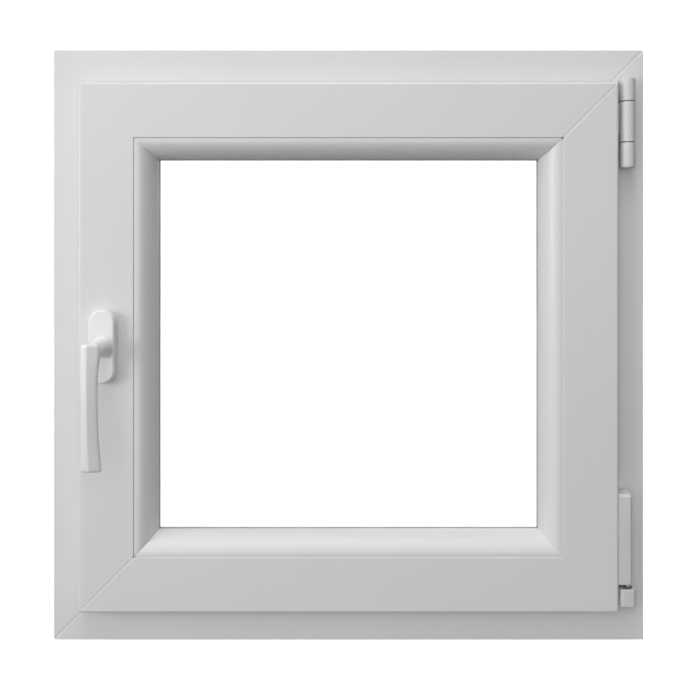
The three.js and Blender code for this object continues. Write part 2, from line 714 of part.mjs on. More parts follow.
const slotHalf = CAM.stem + 0.5;
const plateHalf = GROOVE.plate / 2;
const plateInner = BODY_U + GROOVE.plateDepth;

// Faceplates close the hardware groove, with a slot for each cam or guide pin.
function faceplateSide() {
  const plate = box([sideX(BODY_U), GROOVE.y - plateHalf, 100], [sideX(plateInner), GROOVE.y + plateHalf, 500]);
  const slots = [CAMS.sideUpper, CAMS.sideLower].map((z) =>
    box(
      [sideX(BODY_U) - 1, GROOVE.y - slotHalf, z - slotHalf],
      [sideX(plateInner) + 1, GROOVE.y + slotHalf, z + TRAVEL + slotHalf],
    ),
  );
  const window = box(
    [sideX(BODY_U) - 1, GROOVE.y - 3.2, HANDLE.z - GEAR_REACH],
    [sideX(plateInner) + 1, GROOVE.y + 3.2, HANDLE.z + GEAR_REACH],
  );
  return cut(plate, ...slots, window);
}

const STAY_SLIDE = { end: 7.3, link: -3.8 }; // how far the two guide pins run when the sash tilts
const END_PIN_X = AXIS.x - STAY.length;
const LINK_PIVOT_X = AXIS.x - STAY.pivot;
const LINK_PIN_X = LINK_PIVOT_X + STAY.link;
const PIN = { radius: 3, slot: 4.2 };

function stayRail() {
  const plate = box([-200, GROOVE.y - plateHalf, topZ(plateInner)], [238, GROOVE.y + plateHalf, topZ(BODY_U)]);
  const z0 = topZ(plateInner) - 1;
  const z1 = topZ(BODY_U) + 1;
  const slot = (x0, x1, half) =>
    box([x0 - half, GROOVE.y - half, z0], [x1 + half, GROOVE.y + half, z1]);
  return cut(
    plate,
    slot(CAMS.top, CAMS.top + TRAVEL, slotHalf),
    slot(END_PIN_X, END_PIN_X + STAY_SLIDE.end, PIN.slot),
    slot(LINK_PIN_X + STAY_SLIDE.link, LINK_PIN_X, PIN.slot),
  );
}

function faceplateBottom() {
  const plate = box(
    [-200, GROOVE.y - plateHalf, bottomZ(BODY_U)],
    [200, GROOVE.y + plateHalf, bottomZ(plateInner)],
  );
  return cut(
    plate,
    box(
      [CAMS.bottom - TRAVEL - slotHalf, GROOVE.y - slotHalf, bottomZ(BODY_U) - 1],
      [CAMS.bottom + slotHalf, GROOVE.y + slotHalf, bottomZ(plateInner) + 1],
    ),
  );
}

place("faceplate_side", faceplateSide(), MATERIAL.zinc);
place("stay_rail", stayRail(), MATERIAL.zinc);
place("faceplate_bottom", faceplateBottom(), MATERIAL.zinc);

// Corner drives carry the side rod's travel round the two left corners: an L-shaped guide in the groove.
function cornerDrive(up) {
  const end = up ? 1 : -1;
  const cornerZ = CENTRE_Z + end * (SASH.height / 2);
  const at = (u) => cornerZ - end * u;
  const legX = (u0, u1, x1) => {
    const [a, b] = [at(u0), at(u1)].sort((p, q) => p - q);
    return box([sideX(BODY_U), GROOVE.y - plateHalf, a], [x1, GROOVE.y + plateHalf, b]);
  };
  const foot = up ? 501 : 99;
  const [z0, z1] = [foot, at(BODY_U)].sort((p, q) => p - q);
  const upright = box([sideX(BODY_U), GROOVE.y - plateHalf, z0], [sideX(plateInner), GROOVE.y + plateHalf, z1]);
  return join(upright, legX(BODY_U, plateInner, -201));
}
place("corner_drive_top", cornerDrive(true), MATERIAL.zinc);
place("corner_drive_bottom", cornerDrive(false), MATERIAL.zinc);

// ---------------------------------------------------------------- keeps on the frame

// A keep is a plate on the frame's rebate with a hook wall on the room side of the cam's path.
const HOOK = { y0: -34, y1: -31.4, length: 16, gap: 1 };

function keepSide(camZ) {
  const face = -CENTRE_Z + FRAME.innerLeg; // x of the rebate, -258.5
  const low = camZ - CAM.roller - HOOK.gap - HOOK.length;
  return join(
    box([face + CLEAR, HOOK.y0, low - 6], [face + 1.7, -10, camZ + 34]),
    box([face + CLEAR, HOOK.y0, low], [face + 6.6, HOOK.y1, camZ - CAM.roller - HOOK.gap]),
  );
}

function keepTop() {
  const face = FRAME.size - FRAME.innerLeg; // 558.5
  const near = CAMS.top - CAM.roller - HOOK.gap;
  return join(
    box([near - HOOK.length - 6, HOOK.y0, face - 1.7], [CAMS.top + 34, -10, face - CLEAR]),
    box([near - HOOK.length, HOOK.y0, face - 9], [near, HOOK.y1, face - CLEAR]),
  );
}

// The bottom keep has a second hook, which holds the sash's foot while it is tilted.
function keepBottom() {
  const face = FRAME.innerLeg;
  const near = CAMS.bottom + CAM.roller + HOOK.gap;
  const tilted = CAMS.bottom - TRAVEL;
  return join(
    box([tilted - 14, HOOK.y0, face + CLEAR], [near + HOOK.length + 6, -10, face + 1.7]),
    box([near, HOOK.y0, face + CLEAR], [near + HOOK.length, HOOK.y1, face + 9]),
    box([tilted - 6.5, HOOK.y0, face + CLEAR], [tilted + 6.5, HOOK.y1, face + 9]),
  );
}

place("keep_side_upper", keepSide(CAMS.sideUpper), MATERIAL.zinc);
place("keep_side_lower", keepSide(CAMS.sideLower), MATERIAL.zinc);
place("keep_top", keepTop(), MATERIAL.zinc);
place("keep_bottom", keepBottom(), MATERIAL.zinc);

// ---------------------------------------------------------------- upper hinge and stay

const KNUCKLE = { radius: 5.5, bore: 3.3, pin: 3 };
const axisBar = (z0, z1, radius, sides = 20) => barZ(AXIS.x, AXIS.y, z0, z1, radius, sides);
const LEAF = { y0: FLANGE_BACK + 0.6, y1: ROOM_FACE - 0.8 }; // a leaf passes between flange and frame

// The frame's half: two knuckles on one plate, open between them for the stay's knuckle.
function stayBearing() {
  const { low, jointLow, jointHigh, high } = TOP_HINGE;
  const y1 = ROOM_FACE - 0.2;
  const knuckle = (z0, z1) => [
    axisBar(z0, z1, KNUCKLE.radius),
    box([AXIS.x - 4, AXIS.y, z0], [AXIS.x + 4, y1, z1]),
    box([AXIS.x - 6.5, y1 - 1.6, z0], [AXIS.x + 9, y1, z1]),
  ];
  const spine = box([AXIS.x + 4.2, y1 - 1.4, low + 2], [AXIS.x + 9, y1, high - 2]);
  const body = join(...knuckle(low + 2, jointLow - 0.5), ...knuckle(jointHigh + 0.5, high - 2), spine);
  return cut(body, axisBar(low + 4, high + 1, KNUCKLE.bore));
}

// Plastic sleeves over the knuckles, slotted at the back for the steel behind.
function sleeve(z0, z1, { closedLow = false, closedHigh = false, slotX0 = -4.4, slotX1 = 4.4 }) {
  const dome = 1.2;
  const profile = [
    [0, z0],
    [TOP_HINGE.radius - (closedLow ? dome : 0), z0],
    [TOP_HINGE.radius, z0 + (closedLow ? dome : 0)],
    [TOP_HINGE.radius, z1 - (closedHigh ? dome : 0)],
    [TOP_HINGE.radius - (closedHigh ? dome : 0), z1],
    [0, z1],
  ].filter(([r, z], i, all) => i === 0 || r !== all[i - 1][0] || z !== all[i - 1][1]);
  const body = new THREE.LatheGeometry(profile.map(([r, z]) => new THREE.Vector2(r, z)), 24)
    .rotateX(Math.PI / 2)
    .translate(AXIS.x, AXIS.y, 0);
  // A lathe's Y becomes Z when turned about X.
  const inner = KNUCKLE.radius + 0.25;
  const low = closedLow ? z0 + 1.6 : z0 - 1;
  const high = closedHigh ? z1 - 1.6 : z1 + 1;
  return cut(
    body,
    axisBar(low, high, inner, 24),
    box([AXIS.x + slotX0, AXIS.y + 2, low], [AXIS.x + slotX1, AXIS.y + 10, high]),
  );
}

function stayArm() {
  const { jointLow, jointHigh } = TOP_HINGE;
  const leafHigh = STAY.armLow + STAY.armThick;
  const knuckle = axisBar(jointLow + 0.5, jointHigh - 0.5, KNUCKLE.radius);
  const web = box([AXIS.x - 6.8, AXIS.y + 2.5, 514], [AXIS.x - 1, LEAF.y1, jointHigh - 0.5]);
  const leaf = box([SASH.width / 2 - 13, LEAF.y0, 514], [AXIS.x - 5, LEAF.y1, leafHigh]);
  const gusset = box([SASH.width / 2 - 13, LEAF.y0, 532], [SASH.width / 2 - 10.6, -18, leafHigh]);
  const blade = box([END_PIN_X, -35.2, STAY.armLow], [SASH.width / 2 - 10.6, -17, leafHigh]);
  const tip = barZ(END_PIN_X, GROOVE.y, STAY.armLow, leafHigh, 9);
  const guide = barZ(END_PIN_X, GROOVE.y, PIN_FOOT, STAY.armLow + 1, PIN.radius, 16);
  // The leaf is stepped down beside the capped knuckle so that it clears the frame's upper knuckle.
  const relief = box([AXIS.x - 8.2, LEAF.y0 - 1, jointHigh - 0.6], [AXIS.x + 1, LEAF.y1 + 1, leafHigh + 1]);
  return cut(
    join(knuckle, web, leaf, gusset, blade, tip, guide),
    axisBar(jointLow - 1, jointHigh + 1, KNUCKLE.bore),
    barZ(LINK_PIVOT_X, GROOVE.y, STAY.armLow - 1, leafHigh + 1, PIN.radius + 0.4, 16),
    relief,
  );
}

function stayLink() {
  const z0 = STAY.linkLow;
  const z1 = z0 + STAY.linkThick;
  const bar = box([LINK_PIVOT_X, GROOVE.y - 6, z0], [LINK_PIN_X, GROOVE.y + 6, z1]);
  const head = STAY.armLow + STAY.armThick + 0.4;
  return join(
    bar,
    barZ(LINK_PIVOT_X, GROOVE.y, z0, z1, 6),
    barZ(LINK_PIN_X, GROOVE.y, z0, z1, 6),
    barZ(LINK_PIVOT_X, GROOVE.y, z1 - 0.5, head + 0.5, PIN.radius, 16),
    barZ(LINK_PIVOT_X, GROOVE.y, head, head + 1.2, 5, 16), // rivet head over the arm
    barZ(LINK_PIN_X, GROOVE.y, PIN_FOOT, z0 + 0.5, PIN.radius, 16),
  );
}

place("stay_bearing", stayBearing(), MATERIAL.zinc);
place("stay_hinge_pin", axisBar(TOP_HINGE.low + 4.3, TOP_HINGE.high - 2.4, KNUCKLE.pin, 18), MATERIAL.zinc);
place(
  "stay_bearing_cap_lower",
  sleeve(TOP_HINGE.low, TOP_HINGE.jointLow - 0.25, { closedLow: true }),
  MATERIAL.cap,
);
place(
  "stay_bearing_cap_upper",
  sleeve(TOP_HINGE.jointHigh + 0.25, TOP_HINGE.high, { closedHigh: true }),
  MATERIAL.cap,
);
place(
  "stay_arm_cap",
  sleeve(TOP_HINGE.jointLow + 0.25, TOP_HINGE.jointHigh - 0.25, { slotX0: -8, slotX1: -0.6 }),
  MATERIAL.cap,
);
place("stay_arm", stayArm(), MATERIAL.zinc);
place("stay_link", stayLink(), MATERIAL.zinc);

// ---------------------------------------------------------------- lower hinge

const BALL = { radius: 3.4, neck: 2.1, cup: 4.4, post: 5.5, cupTop: 53 };

// The frame's half: a bored post on a plate.
function cornerBearing() {
  const y1 = ROOM_FACE - 0.2;
  const low = LOWER_HINGE.low + 1.8;
  return cut(
    join(
      axisBar(low, BALL.cupTop + 0.5, BALL.post),
      box([AXIS.x - 4.5, AXIS.y, low], [AXIS.x + 4.5, y1, BALL.cupTop + 0.5]),
      box([AXIS.x - 5.6, y1 - 1.6, low], [AXIS.x + 5.6, y1, BALL.cupTop + 0.5]),
    ),
    axisBar(low + 2, BALL.cupTop + 2, BALL.cup + CLEAR),
  );
}

// The cup turns in the post with the sash, and the sash's ball tilts in the cup.
function cornerPivot() {
  return cut(
    axisBar(LOWER_HINGE.low + 4.2, BALL.cupTop, BALL.cup),
    axisBar(BALL_Z - BALL.radius - CLEAR, BALL.cupTop + 1, BALL.radius + CLEAR),
  );
}

// A rounded cap over the post, open towards the frame and at the top for the ball's neck.
function cornerBearingCap() {
  const { low, bearingTop } = LOWER_HINGE;
  const left = AXIS.x - 9.7;
  const right = AXIS.x + 6.9;
  const inner = BALL.post + CLEAR;
  const shape = outline([
    [left, ROOM_FACE - 0.4],
    [left, AXIS.y - 7.4, 4],
    [right, AXIS.y - 7.4, 4],
    [right, ROOM_FACE - 0.4],
  ]);
  return cut(
    plateZ(shape, low, bearingTop),
    axisBar(low + 1.4, BALL.cupTop + 1.2, inner),
    box([AXIS.x - inner, AXIS.y, low + 1.4], [AXIS.x + inner, ROOM_FACE + 1, BALL.cupTop + 1.2]),
    axisBar(BALL.cupTop, bearingTop + 1, 4.6),
  );
}

// The sash's half: ball and neck under a post, a leaf under the flange and a plate on the sash's side.
function cornerBand() {
  const low = LOWER_HINGE.coverLow + 1.5;
  const high = LOWER_HINGE.coverHigh - 3;
  const side = SASH.width / 2 - BODY_U; // x of the sash body's side
  const ball = new THREE.SphereGeometry(BALL.radius, 18, 12).translate(AXIS.x, AXIS.y, BALL_Z);
  return join(
    ball,
    axisBar(BALL_Z, low + 1, BALL.neck, 16),
    box([AXIS.x - 5, AXIS.y - 5, low], [AXIS.x + 0.6, AXIS.y + 3, high]),
    box([SASH.width / 2 - 6, LEAF.y0, 68], [AXIS.x, LEAF.y1, 151]),
    box([AXIS.x - 4, AXIS.y, 68], [AXIS.x, LEAF.y1, 151]),
    box([side + CLEAR, LEAF.y0, 68], [SASH.width / 2 - 5, LEAF.y1, 151]),
    box([side + CLEAR, LEAF.y0, 68], [side + 2.3, 0, 151]),
  );
}

// The long cover along the flange's edge, closed at the top.
function cornerBandCap() {
  const { coverLow, coverHigh } = LOWER_HINGE;
  const x0 = SASH.width / 2 + CLEAR;
  const shape = outline([
    [x0, AXIS.y + 6.6],
    [x0, AXIS.y - 7.6, 1],
    [AXIS.x + 2.8, AXIS.y - 7.6, 3],
    [AXIS.x + 2.8, AXIS.y + 6.6, 2],
  ]);
  return cut(
    plateZ(shape, coverLow, coverHigh),
    box([AXIS.x - 5.3, AXIS.y - 5.3, coverLow - 1], [AXIS.x + 0.9, AXIS.y + 4, coverHigh - 2]),
    axisBar(coverLow - 1, coverLow + 3, BALL.neck + CLEAR),
    box([x0 - 1, AXIS.y - 1, coverLow - 1], [AXIS.x + 0.5, AXIS.y + 10, coverHigh - 2]),
  );
}

place("corner_bearing", cornerBearing(), MATERIAL.zinc);
place("corner_bearing_cap", cornerBearingCap(), MATERIAL.cap);
place("corner_pivot", cornerPivot(), MATERIAL.zinc);
place("corner_band", cornerBand(), MATERIAL.zinc);
place("corner_band_cap", cornerBandCap(), MATERIAL.cap);

export default root;
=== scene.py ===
"""The looks of a white tilt-and-turn window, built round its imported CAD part.

Sections are drawn in millimetres as (u, y): u is the distance inwards from the outer edge of the bar's
rectangle, and y is the depth, with the room on the -Y side.
"""

import json
import math

import bmesh
import bpy
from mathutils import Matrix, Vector
from mathutils.geometry import tessellate_polygon


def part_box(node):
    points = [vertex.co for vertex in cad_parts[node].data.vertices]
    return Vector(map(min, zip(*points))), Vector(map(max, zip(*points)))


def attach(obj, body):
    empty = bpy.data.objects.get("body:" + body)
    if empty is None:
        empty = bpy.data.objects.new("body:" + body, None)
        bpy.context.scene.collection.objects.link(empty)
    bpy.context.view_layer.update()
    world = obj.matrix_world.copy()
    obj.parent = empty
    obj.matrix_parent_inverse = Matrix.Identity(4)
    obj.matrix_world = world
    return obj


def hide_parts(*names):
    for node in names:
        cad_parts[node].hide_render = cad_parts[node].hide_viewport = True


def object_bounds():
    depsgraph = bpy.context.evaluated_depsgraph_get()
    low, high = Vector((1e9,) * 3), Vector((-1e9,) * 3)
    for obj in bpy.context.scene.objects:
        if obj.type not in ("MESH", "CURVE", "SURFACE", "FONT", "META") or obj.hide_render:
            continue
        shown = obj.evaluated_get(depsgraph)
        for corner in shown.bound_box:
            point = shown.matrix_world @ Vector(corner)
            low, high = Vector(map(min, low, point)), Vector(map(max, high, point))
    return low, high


MM = 0.001

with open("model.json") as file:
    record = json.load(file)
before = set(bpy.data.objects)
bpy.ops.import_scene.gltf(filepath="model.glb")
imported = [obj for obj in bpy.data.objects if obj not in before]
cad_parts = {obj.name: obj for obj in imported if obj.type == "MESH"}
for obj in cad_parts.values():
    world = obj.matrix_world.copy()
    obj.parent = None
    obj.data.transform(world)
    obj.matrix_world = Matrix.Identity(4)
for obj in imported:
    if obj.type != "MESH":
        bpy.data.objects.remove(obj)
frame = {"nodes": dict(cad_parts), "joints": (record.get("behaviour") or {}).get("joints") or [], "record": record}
cad_low, cad_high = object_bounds()

# ---------------------------------------------------------------- sizes, in millimetres


def millimetres(metres):
    return round(metres / MM, 2)


FRAME_SIZE = millimetres(cad_high[0] - cad_low[0])
CENTRE_Z = FRAME_SIZE / 2

stile_low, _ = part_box("sash_stile_left")
rail_low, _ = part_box("sash_bottom_rail")
SASH_WIDTH = -2 * millimetres(stile_low.x)
SASH_HEIGHT = 2 * (CENTRE_Z - millimetres(rail_low.z))
SASH_FACE = millimetres(rail_low.y)

joint_places = {
    joint["name"]: [millimetres(value) for value in joint["pos_m"]]
    for joint in frame["joints"]
    if "pos_m" in joint
}
AXIS_X, AXIS_Y, _ = joint_places["turn"]
HANDLE_X, _, HANDLE_Z = joint_places["handle_turn"]

# The cleaned groove along a welded corner, deeper at the lower left and the upper right.
DEEP_WELD = {"width": 3.0, "depth": 0.6}
FINE_WELD = {"width": 1.2, "depth": 0.2}
MITRE_GAP = 0.005  # each bar stops this short of the mitre

# Edges that bend by more than these angles, in degrees, are shaded sharp.
SHARP_ANGLE = 32
HINGE_SHARP_ANGLE = 40
ROSETTE_SHARP_ANGLE = 50
LEVER_SHARP_ANGLE = 60

WORLD_LIGHT = 0.158
SIDE_LIGHT = {"direction": (-0.85, -0.5, 0.15), "distance": 2.5, "size": 1.2, "power": 27}
TOP_LIGHT = {"direction": (0.0, -0.25, 1.0), "distance": 2.5, "size": 1.2, "power": 17}
HIGH_LIGHT = {"direction": (-0.15, -0.5, 0.85), "distance": 2.5, "size": 1.2, "power": 9.5}
FRONT_LIGHT = {"direction": (0.0, -1.0, 0.2), "distance": 3.5, "size": 4.0, "power": 42.5}
BACK_LIGHT = {"direction": (0.4, 1.0, 0.5), "distance": 3.0, "size": 2.5, "power": 40}

# ---------------------------------------------------------------- materials

NOISE_RANGE = (0.3, 0.7)  # most of a noise node's values lie between these
RELIEF = 0.0002  # the height of the surface grain, in metres


def material(name, **sockets):
    """A new material, its node tree, its Principled shader and a coordinates node."""
    made = bpy.data.materials.new(name)
    made.use_nodes = True
    tree = made.node_tree
    shader = tree.nodes["Principled BSDF"]
    for key, value in sockets.items():
        shader.inputs[key.replace("_", " ")].default_value = value
    coordinates = tree.nodes.new("ShaderNodeTexCoord")
    return made, tree, shader, coordinates


def grey(value):
    return (value, value, value)


def stretched(tree, coordinates, scale):
    """Object coordinates, scaled on each axis."""
    mapping = tree.nodes.new("ShaderNodeMapping")
    mapping.inputs["Scale"].default_value = scale
    tree.links.new(coordinates.outputs["Object"], mapping.inputs["Vector"])
    return mapping.outputs["Vector"]


def noise(tree, vector, scale, detail=3.0, roughness=0.5):
    """Cloudy noise from 0 to 1."""
    node = tree.nodes.new("ShaderNodeTexNoise")
    node.inputs["Scale"].default_value = scale
    node.inputs["Detail"].default_value = detail
    node.inputs["Roughness"].default_value = roughness
    tree.links.new(vector, node.inputs["Vector"])
    return node.outputs["Fac"]


def ramp(tree, factor, low, high, span=NOISE_RANGE):
    """A colour between low and high."""
    node = tree.nodes.new("ShaderNodeValToRGB")
    for element, position, colour in zip(node.color_ramp.elements, span, (low, high)):
        element.position = position
        element.color = (*colour, 1)
    tree.links.new(factor, node.inputs["Fac"])
    return node.outputs["Color"]


def spread(tree, factor, low, high):
    """A number between low and high."""
    node = tree.nodes.new("ShaderNodeMapRange")
    node.inputs["From Min"].default_value, node.inputs["From Max"].default_value = NOISE_RANGE
    node.inputs["To Min"].default_value = low
    node.inputs["To Max"].default_value = high
    tree.links.new(factor, node.inputs["Value"])
    return node.outputs["Result"]


def bump(tree, shader, height, strength, after=None):
    """Fine relief on a shader, on top of an earlier relief if one is given."""
    node = tree.nodes.new("ShaderNodeBump")
    node.inputs["Strength"].default_value = strength
    node.inputs["Distance"].default_value = RELIEF
    tree.links.new(height, node.inputs["Height"])
    if after is not None:
        tree.links.new(after, node.inputs["Normal"])
    tree.links.new(node.outputs["Normal"], shader.inputs["Normal"])
    return node.outputs["Normal"]


def extruded_plastic(name, along, low, high, rough):
    """Extruded PVC-U: a soft sheen with faint die lines along the bar and a fine grain."""
    made, tree, shader, coordinates = material(name, Specular_IOR_Level=0.45)
    lines_scale = (1, 500, 500) if along == "X" else (500, 500, 1)
    plain = coordinates.outputs["Object"]
    lines = noise(tree, stretched(tree, coordinates, lines_scale), 1.0, detail=2)
    clouds = noise(tree, plain, 6.0)
    tree.links.new(ramp(tree, clouds, low, high), shader.inputs["Base Color"])
    tree.links.new(spread(tree, lines, *rough), shader.inputs["Roughness"])
    grain = bump(tree, shader, noise(tree, plain, 900.0, detail=2), 0.05)
    bump(tree, shader, lines, 0.05, after=grain)
    return made


def moulded_plastic(name, low, high, rough, grain=1400.0, strength=0.06):
    """A moulded or coated surface: even colour with a fine orange-peel grain."""
    made, tree, shader, coordinates = material(name, Specular_IOR_Level=0.5)
    plain = coordinates.outputs["Object"]
    tree.links.new(ramp(tree, noise(tree, plain, 25.0), low, high), shader.inputs["Base Color"])
    tree.links.new(spread(tree, noise(tree, plain, 120.0), *rough), shader.inputs["Roughness"])
    bump(tree, shader, noise(tree, plain, grain, detail=2), strength)
    return made


def plated_metal(name, low, high, rough, brushed=(1, 1, 1), cells=0.0):
    """Plated steel: mottled plating with brushed streaks, or with crystal cells on galvanised bars."""
    made, tree, shader, coordinates = material(name, Metallic=1.0)
    plain = coordinates.outputs["Object"]
    if cells:
        voronoi = tree.nodes.new("ShaderNodeTexVoronoi")
        voronoi.inputs["Scale"].default_value = cells
        tree.links.new(plain, voronoi.inputs["Vector"])
        separate = tree.nodes.new("ShaderNodeSeparateColor")
        tree.links.new(voronoi.outputs["Color"], separate.inputs["Color"])
        mottle = separate.outputs["Red"]
    else:
        mottle = noise(tree, plain, 70.0, detail=5, roughness=0.6)
    streaks = noise(tree, stretched(tree, coordinates, brushed), 400.0, detail=3)
    tree.links.new(ramp(tree, mottle, low, high, span=(0.2, 0.8)), shader.inputs["Base Color"])
    tree.links.new(spread(tree, streaks, *rough), shader.inputs["Roughness"])
    bump(tree, shader, streaks, 0.08)
    return made


def clear_glass():
    """Float glass: nearly all light goes straight through, and it mirrors at a low angle."""
    made, tree, shader, coordinates = material("float_glass")
    tree.nodes.remove(shader)
    clear = tree.nodes.new("ShaderNodeBsdfTransparent")
    mirror = tree.nodes.new("ShaderNodeBsdfGlossy")
    mirror.inputs["Roughness"].default_value = 0.02
    mix = tree.nodes.new("ShaderNodeMixShader")
    # Schlick's rise of the reflection towards a grazing angle, the same from both sides of a pane.
    grazing = tree.nodes.new("ShaderNodeLayerWeight")
    rise = tree.nodes.new("ShaderNodeMath")
    rise.operation = "POWER"
    rise.inputs[1].default_value = 5
    mirrored = tree.nodes.new("ShaderNodeMapRange")
    mirrored.inputs["To Min"].default_value = 0.04
    tree.links.new(grazing.outputs["Facing"], rise.inputs[0])
    tree.links.new(rise.outputs[0], mirrored.inputs["Value"])
    cloud = noise(tree, coordinates.outputs["Object"], 3.0)
    tree.links.new(ramp(tree, cloud, (0.982, 0.993, 0.989), (0.989, 0.997, 0.993)), clear.inputs["Color"])
    tree.links.new(mirrored.outputs["Result"], mix.inputs[0])
    tree.links.new(clear.outputs[0], mix.inputs[1])
    tree.links.new(mirror.outputs[0], mix.inputs[2])
    tree.links.new(mix.outputs[0], tree.nodes["Material Output"].inputs["Surface"])
    return made


PVC_COLOURS = (grey(0.775), grey(0.8))
PVC_ROUGHNESS = (0.34, 0.44)
PVC_X = extruded_plastic("pvc_lengthwise_x", "X", *PVC_COLOURS, PVC_ROUGHNESS)
PVC_Z = extruded_plastic("pvc_lengthwise_z", "Z", *PVC_COLOURS, PVC_ROUGHNESS)
CAP = moulded_plastic("cap_plastic", grey(0.69), grey(0.72), (0.36, 0.46))
HANDLE_PLASTIC = moulded_plastic("rosette_plastic", grey(0.9), grey(0.93), (0.34, 0.44))
COAT = moulded_plastic("white_powder_coat", grey(0.86), grey(0.89), (0.3, 0.4), grain=1800.0, strength=0.1)
RUBBER = moulded_plastic(
    "grey_seal", (0.4, 0.403, 0.407), (0.47, 0.473, 0.477), (0.65, 0.85), grain=700.0, strength=0.25
)
SEALANT = moulded_plastic(
    "black_sealant", (0.012, 0.012, 0.013), (0.03, 0.03, 0.032), (0.5, 0.8), grain=300.0, strength=0.4
)
BLOCK = moulded_plastic(
    "blue_block", (0.02, 0.13, 0.42), (0.04, 0.19, 0.52), (0.45, 0.6), grain=500.0, strength=0.2
)
ZINC = plated_metal(
    "zinc_plate", (0.6, 0.62, 0.64), (0.78, 0.79, 0.8), (0.28, 0.45), brushed=(1, 1, 0.08)
)
STEEL = plated_metal("galvanised_steel", (0.36, 0.38, 0.4), (0.6, 0.61, 0.62), (0.35, 0.5), cells=130.0)
SPACER = plated_metal(
    "spacer_aluminium", (0.62, 0.63, 0.64), (0.74, 0.75, 0.76), (0.3, 0.45), brushed=(0.1, 1, 0.1)
)
GLASS = clear_glass()

# ---------------------------------------------------------------- mesh helpers

# A circle's quarter as a cubic curve has its handles this share of the radius from the corner.
QUARTER_HANDLE = 0.448


def rounded(points):
    """A closed loop through (u, y, radius) points, the corners with a radius rounded."""
    loop = []
    count = len(points)
    for i, point in enumerate(points):
        here = Vector(point[:2])
        radius = point[2] if len(point) > 2 else 0
        if not radius:
            loop.append(here)
            continue
        before = (Vector(points[i - 1][:2]) - here).normalized() * radius
        after = (Vector(points[(i + 1) % count][:2]) - here).normalized() * radius
        steps = max(3, min(8, math.ceil(radius * 3)))  # more on a larger corner
        a, d = here + before, here + after
        b, c = here + before * QUARTER_HANDLE, here + after * QUARTER_HANDLE
        for k in range(steps + 1):
            t = k / steps
            s = 1 - t
            loop.append(a * s**3 + b * (3 * s * s * t) + c * (3 * s * t * t) + d * t**3)
    return loop


def bend(a, b, c, d, steps=24):
    """Points of a cubic curve from a to d that leaves towards b and arrives from c."""
    points = []
    for k in range(steps + 1):
        t = k / steps
        weights = ((1 - t) ** 3, 3 * t * (1 - t) ** 2, 3 * t * t * (1 - t), t**3)
        points.append(tuple(sum(w * p[i] for w, p in zip(weights, (a, b, c, d))) for i in range(2)))
    return points


def area(loop):
    """The area inside a loop, positive where it runs anticlockwise."""
    return sum(a.x * b.y - b.x * a.y for a, b in zip(loop, loop[1:] + loop[:1])) / 2


def inset(loop, depth):
    """The loop moved inwards by depth along its corner normals."""
    turn = 1 if area(loop) > 0 else -1
    moved = []
    for i, here in enumerate(loop):
        before = (here - loop[i - 1]).normalized()
        after = (loop[(i + 1) % len(loop)] - here).normalized()
        normal = Vector((-(before.y + after.y), before.x + after.x)) * turn
        moved.append(here + normal.normalized() * depth if normal.length > 1e-9 else here)
    return moved


def even_normals(made):
    """Keeps flat faces flat where they run smoothly into a rounded edge."""
    modifier = made.modifiers.new("even", "WEIGHTED_NORMAL")
    modifier.mode = "FACE_AREA"
    modifier.weight = 50
    modifier.keep_sharp = True


def shaded(made, angle=SHARP_ANGLE):
    """Shades a mesh smooth, but for its sharp edges."""
    mesh = made.data
    mesh.polygons.foreach_set("use_smooth", [True] * len(mesh.polygons))
    mesh.set_sharp_from_angle(angle=math.radians(angle))
    if "even" not in made.modifiers:
        even_normals(made)


def piece(name, points, faces, body, look, nodes):
    """A new visible piece from points in millimetres, riding on a body and standing for CAD nodes."""
    mesh = bpy.data.meshes.new(name)
    mesh.from_pydata([(x * MM, y * MM, z * MM) for x, y, z in points], [], faces)
    mesh.validate()
    mesh.materials.append(look)
    made = bpy.data.objects.new(name, mesh)
    bpy.context.scene.collection.objects.link(made)
    shaded(made)
    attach(made, body)
    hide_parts(*nodes)
    return made


def bake(made, angle=SHARP_ANGLE):
    """Applies an object's modifiers."""
    made.modifiers.remove(made.modifiers["even"])
    bpy.context.view_layer.update()
    graph = bpy.context.evaluated_depsgraph_get()
    mesh = bpy.data.meshes.new_from_object(made.evaluated_get(graph))
    made.modifiers.clear()
    made.data = mesh
    shaded(made, angle)


def carve(made, cutters, angle=SHARP_ANGLE):
    """Cuts closed helper solids, given as (points, faces) in millimetres, out of a piece."""
    helpers = []
    for points, faces in cutters:
        mesh = bpy.data.meshes.new("cutter")
        mesh.from_pydata([(x * MM, y * MM, z * MM) for x, y, z in points], [], faces)
        helper = bpy.data.objects.new("cutter", mesh)
        bpy.context.scene.collection.objects.link(helper)
        helpers.append(helper)
        modifier = made.modifiers.new("cut", "BOOLEAN")
        modifier.operation = "DIFFERENCE"
        modifier.solver = "MANIFOLD"
        modifier.object = helper
    bake(made, angle)
    for helper in helpers:
        bpy.data.objects.remove(helper)


def box(low, high):
    """A closed box between two corners."""
    (x0, y0, z0), (x1, y1, z1) = low, high
    points = [(x, y, z) for z in (z0, z1) for y in (y0, y1) for x in (x0, x1)]
    faces = [(0, 2, 3, 1), (4, 5, 7, 6), (0, 1, 5, 4), (2, 6, 7, 3), (0, 4, 6, 2), (1, 3, 7, 5)]
    return points, faces


def sweep(rings, closed=False, caps=True):
    """Joins equal rings of points, in order, with quads. The first and last are capped as polygons."""
    points = [p for ring in rings for p in ring]
    count = len(rings[0])
    faces = []
    spans = len(rings) if closed else len(rings) - 1
    for s in range(spans):
        a, b = s * count, ((s + 1) % len(rings)) * count
        for i in range(count):
            j = (i + 1) % count
            faces.append((a + i, a + j, b + j, b + i))
    if caps and not closed:
        faces.append(tuple(reversed(range(count))))
        last = (len(rings) - 1) * count
        faces.append(tuple(last + i for i in range(count)))
    return points, faces


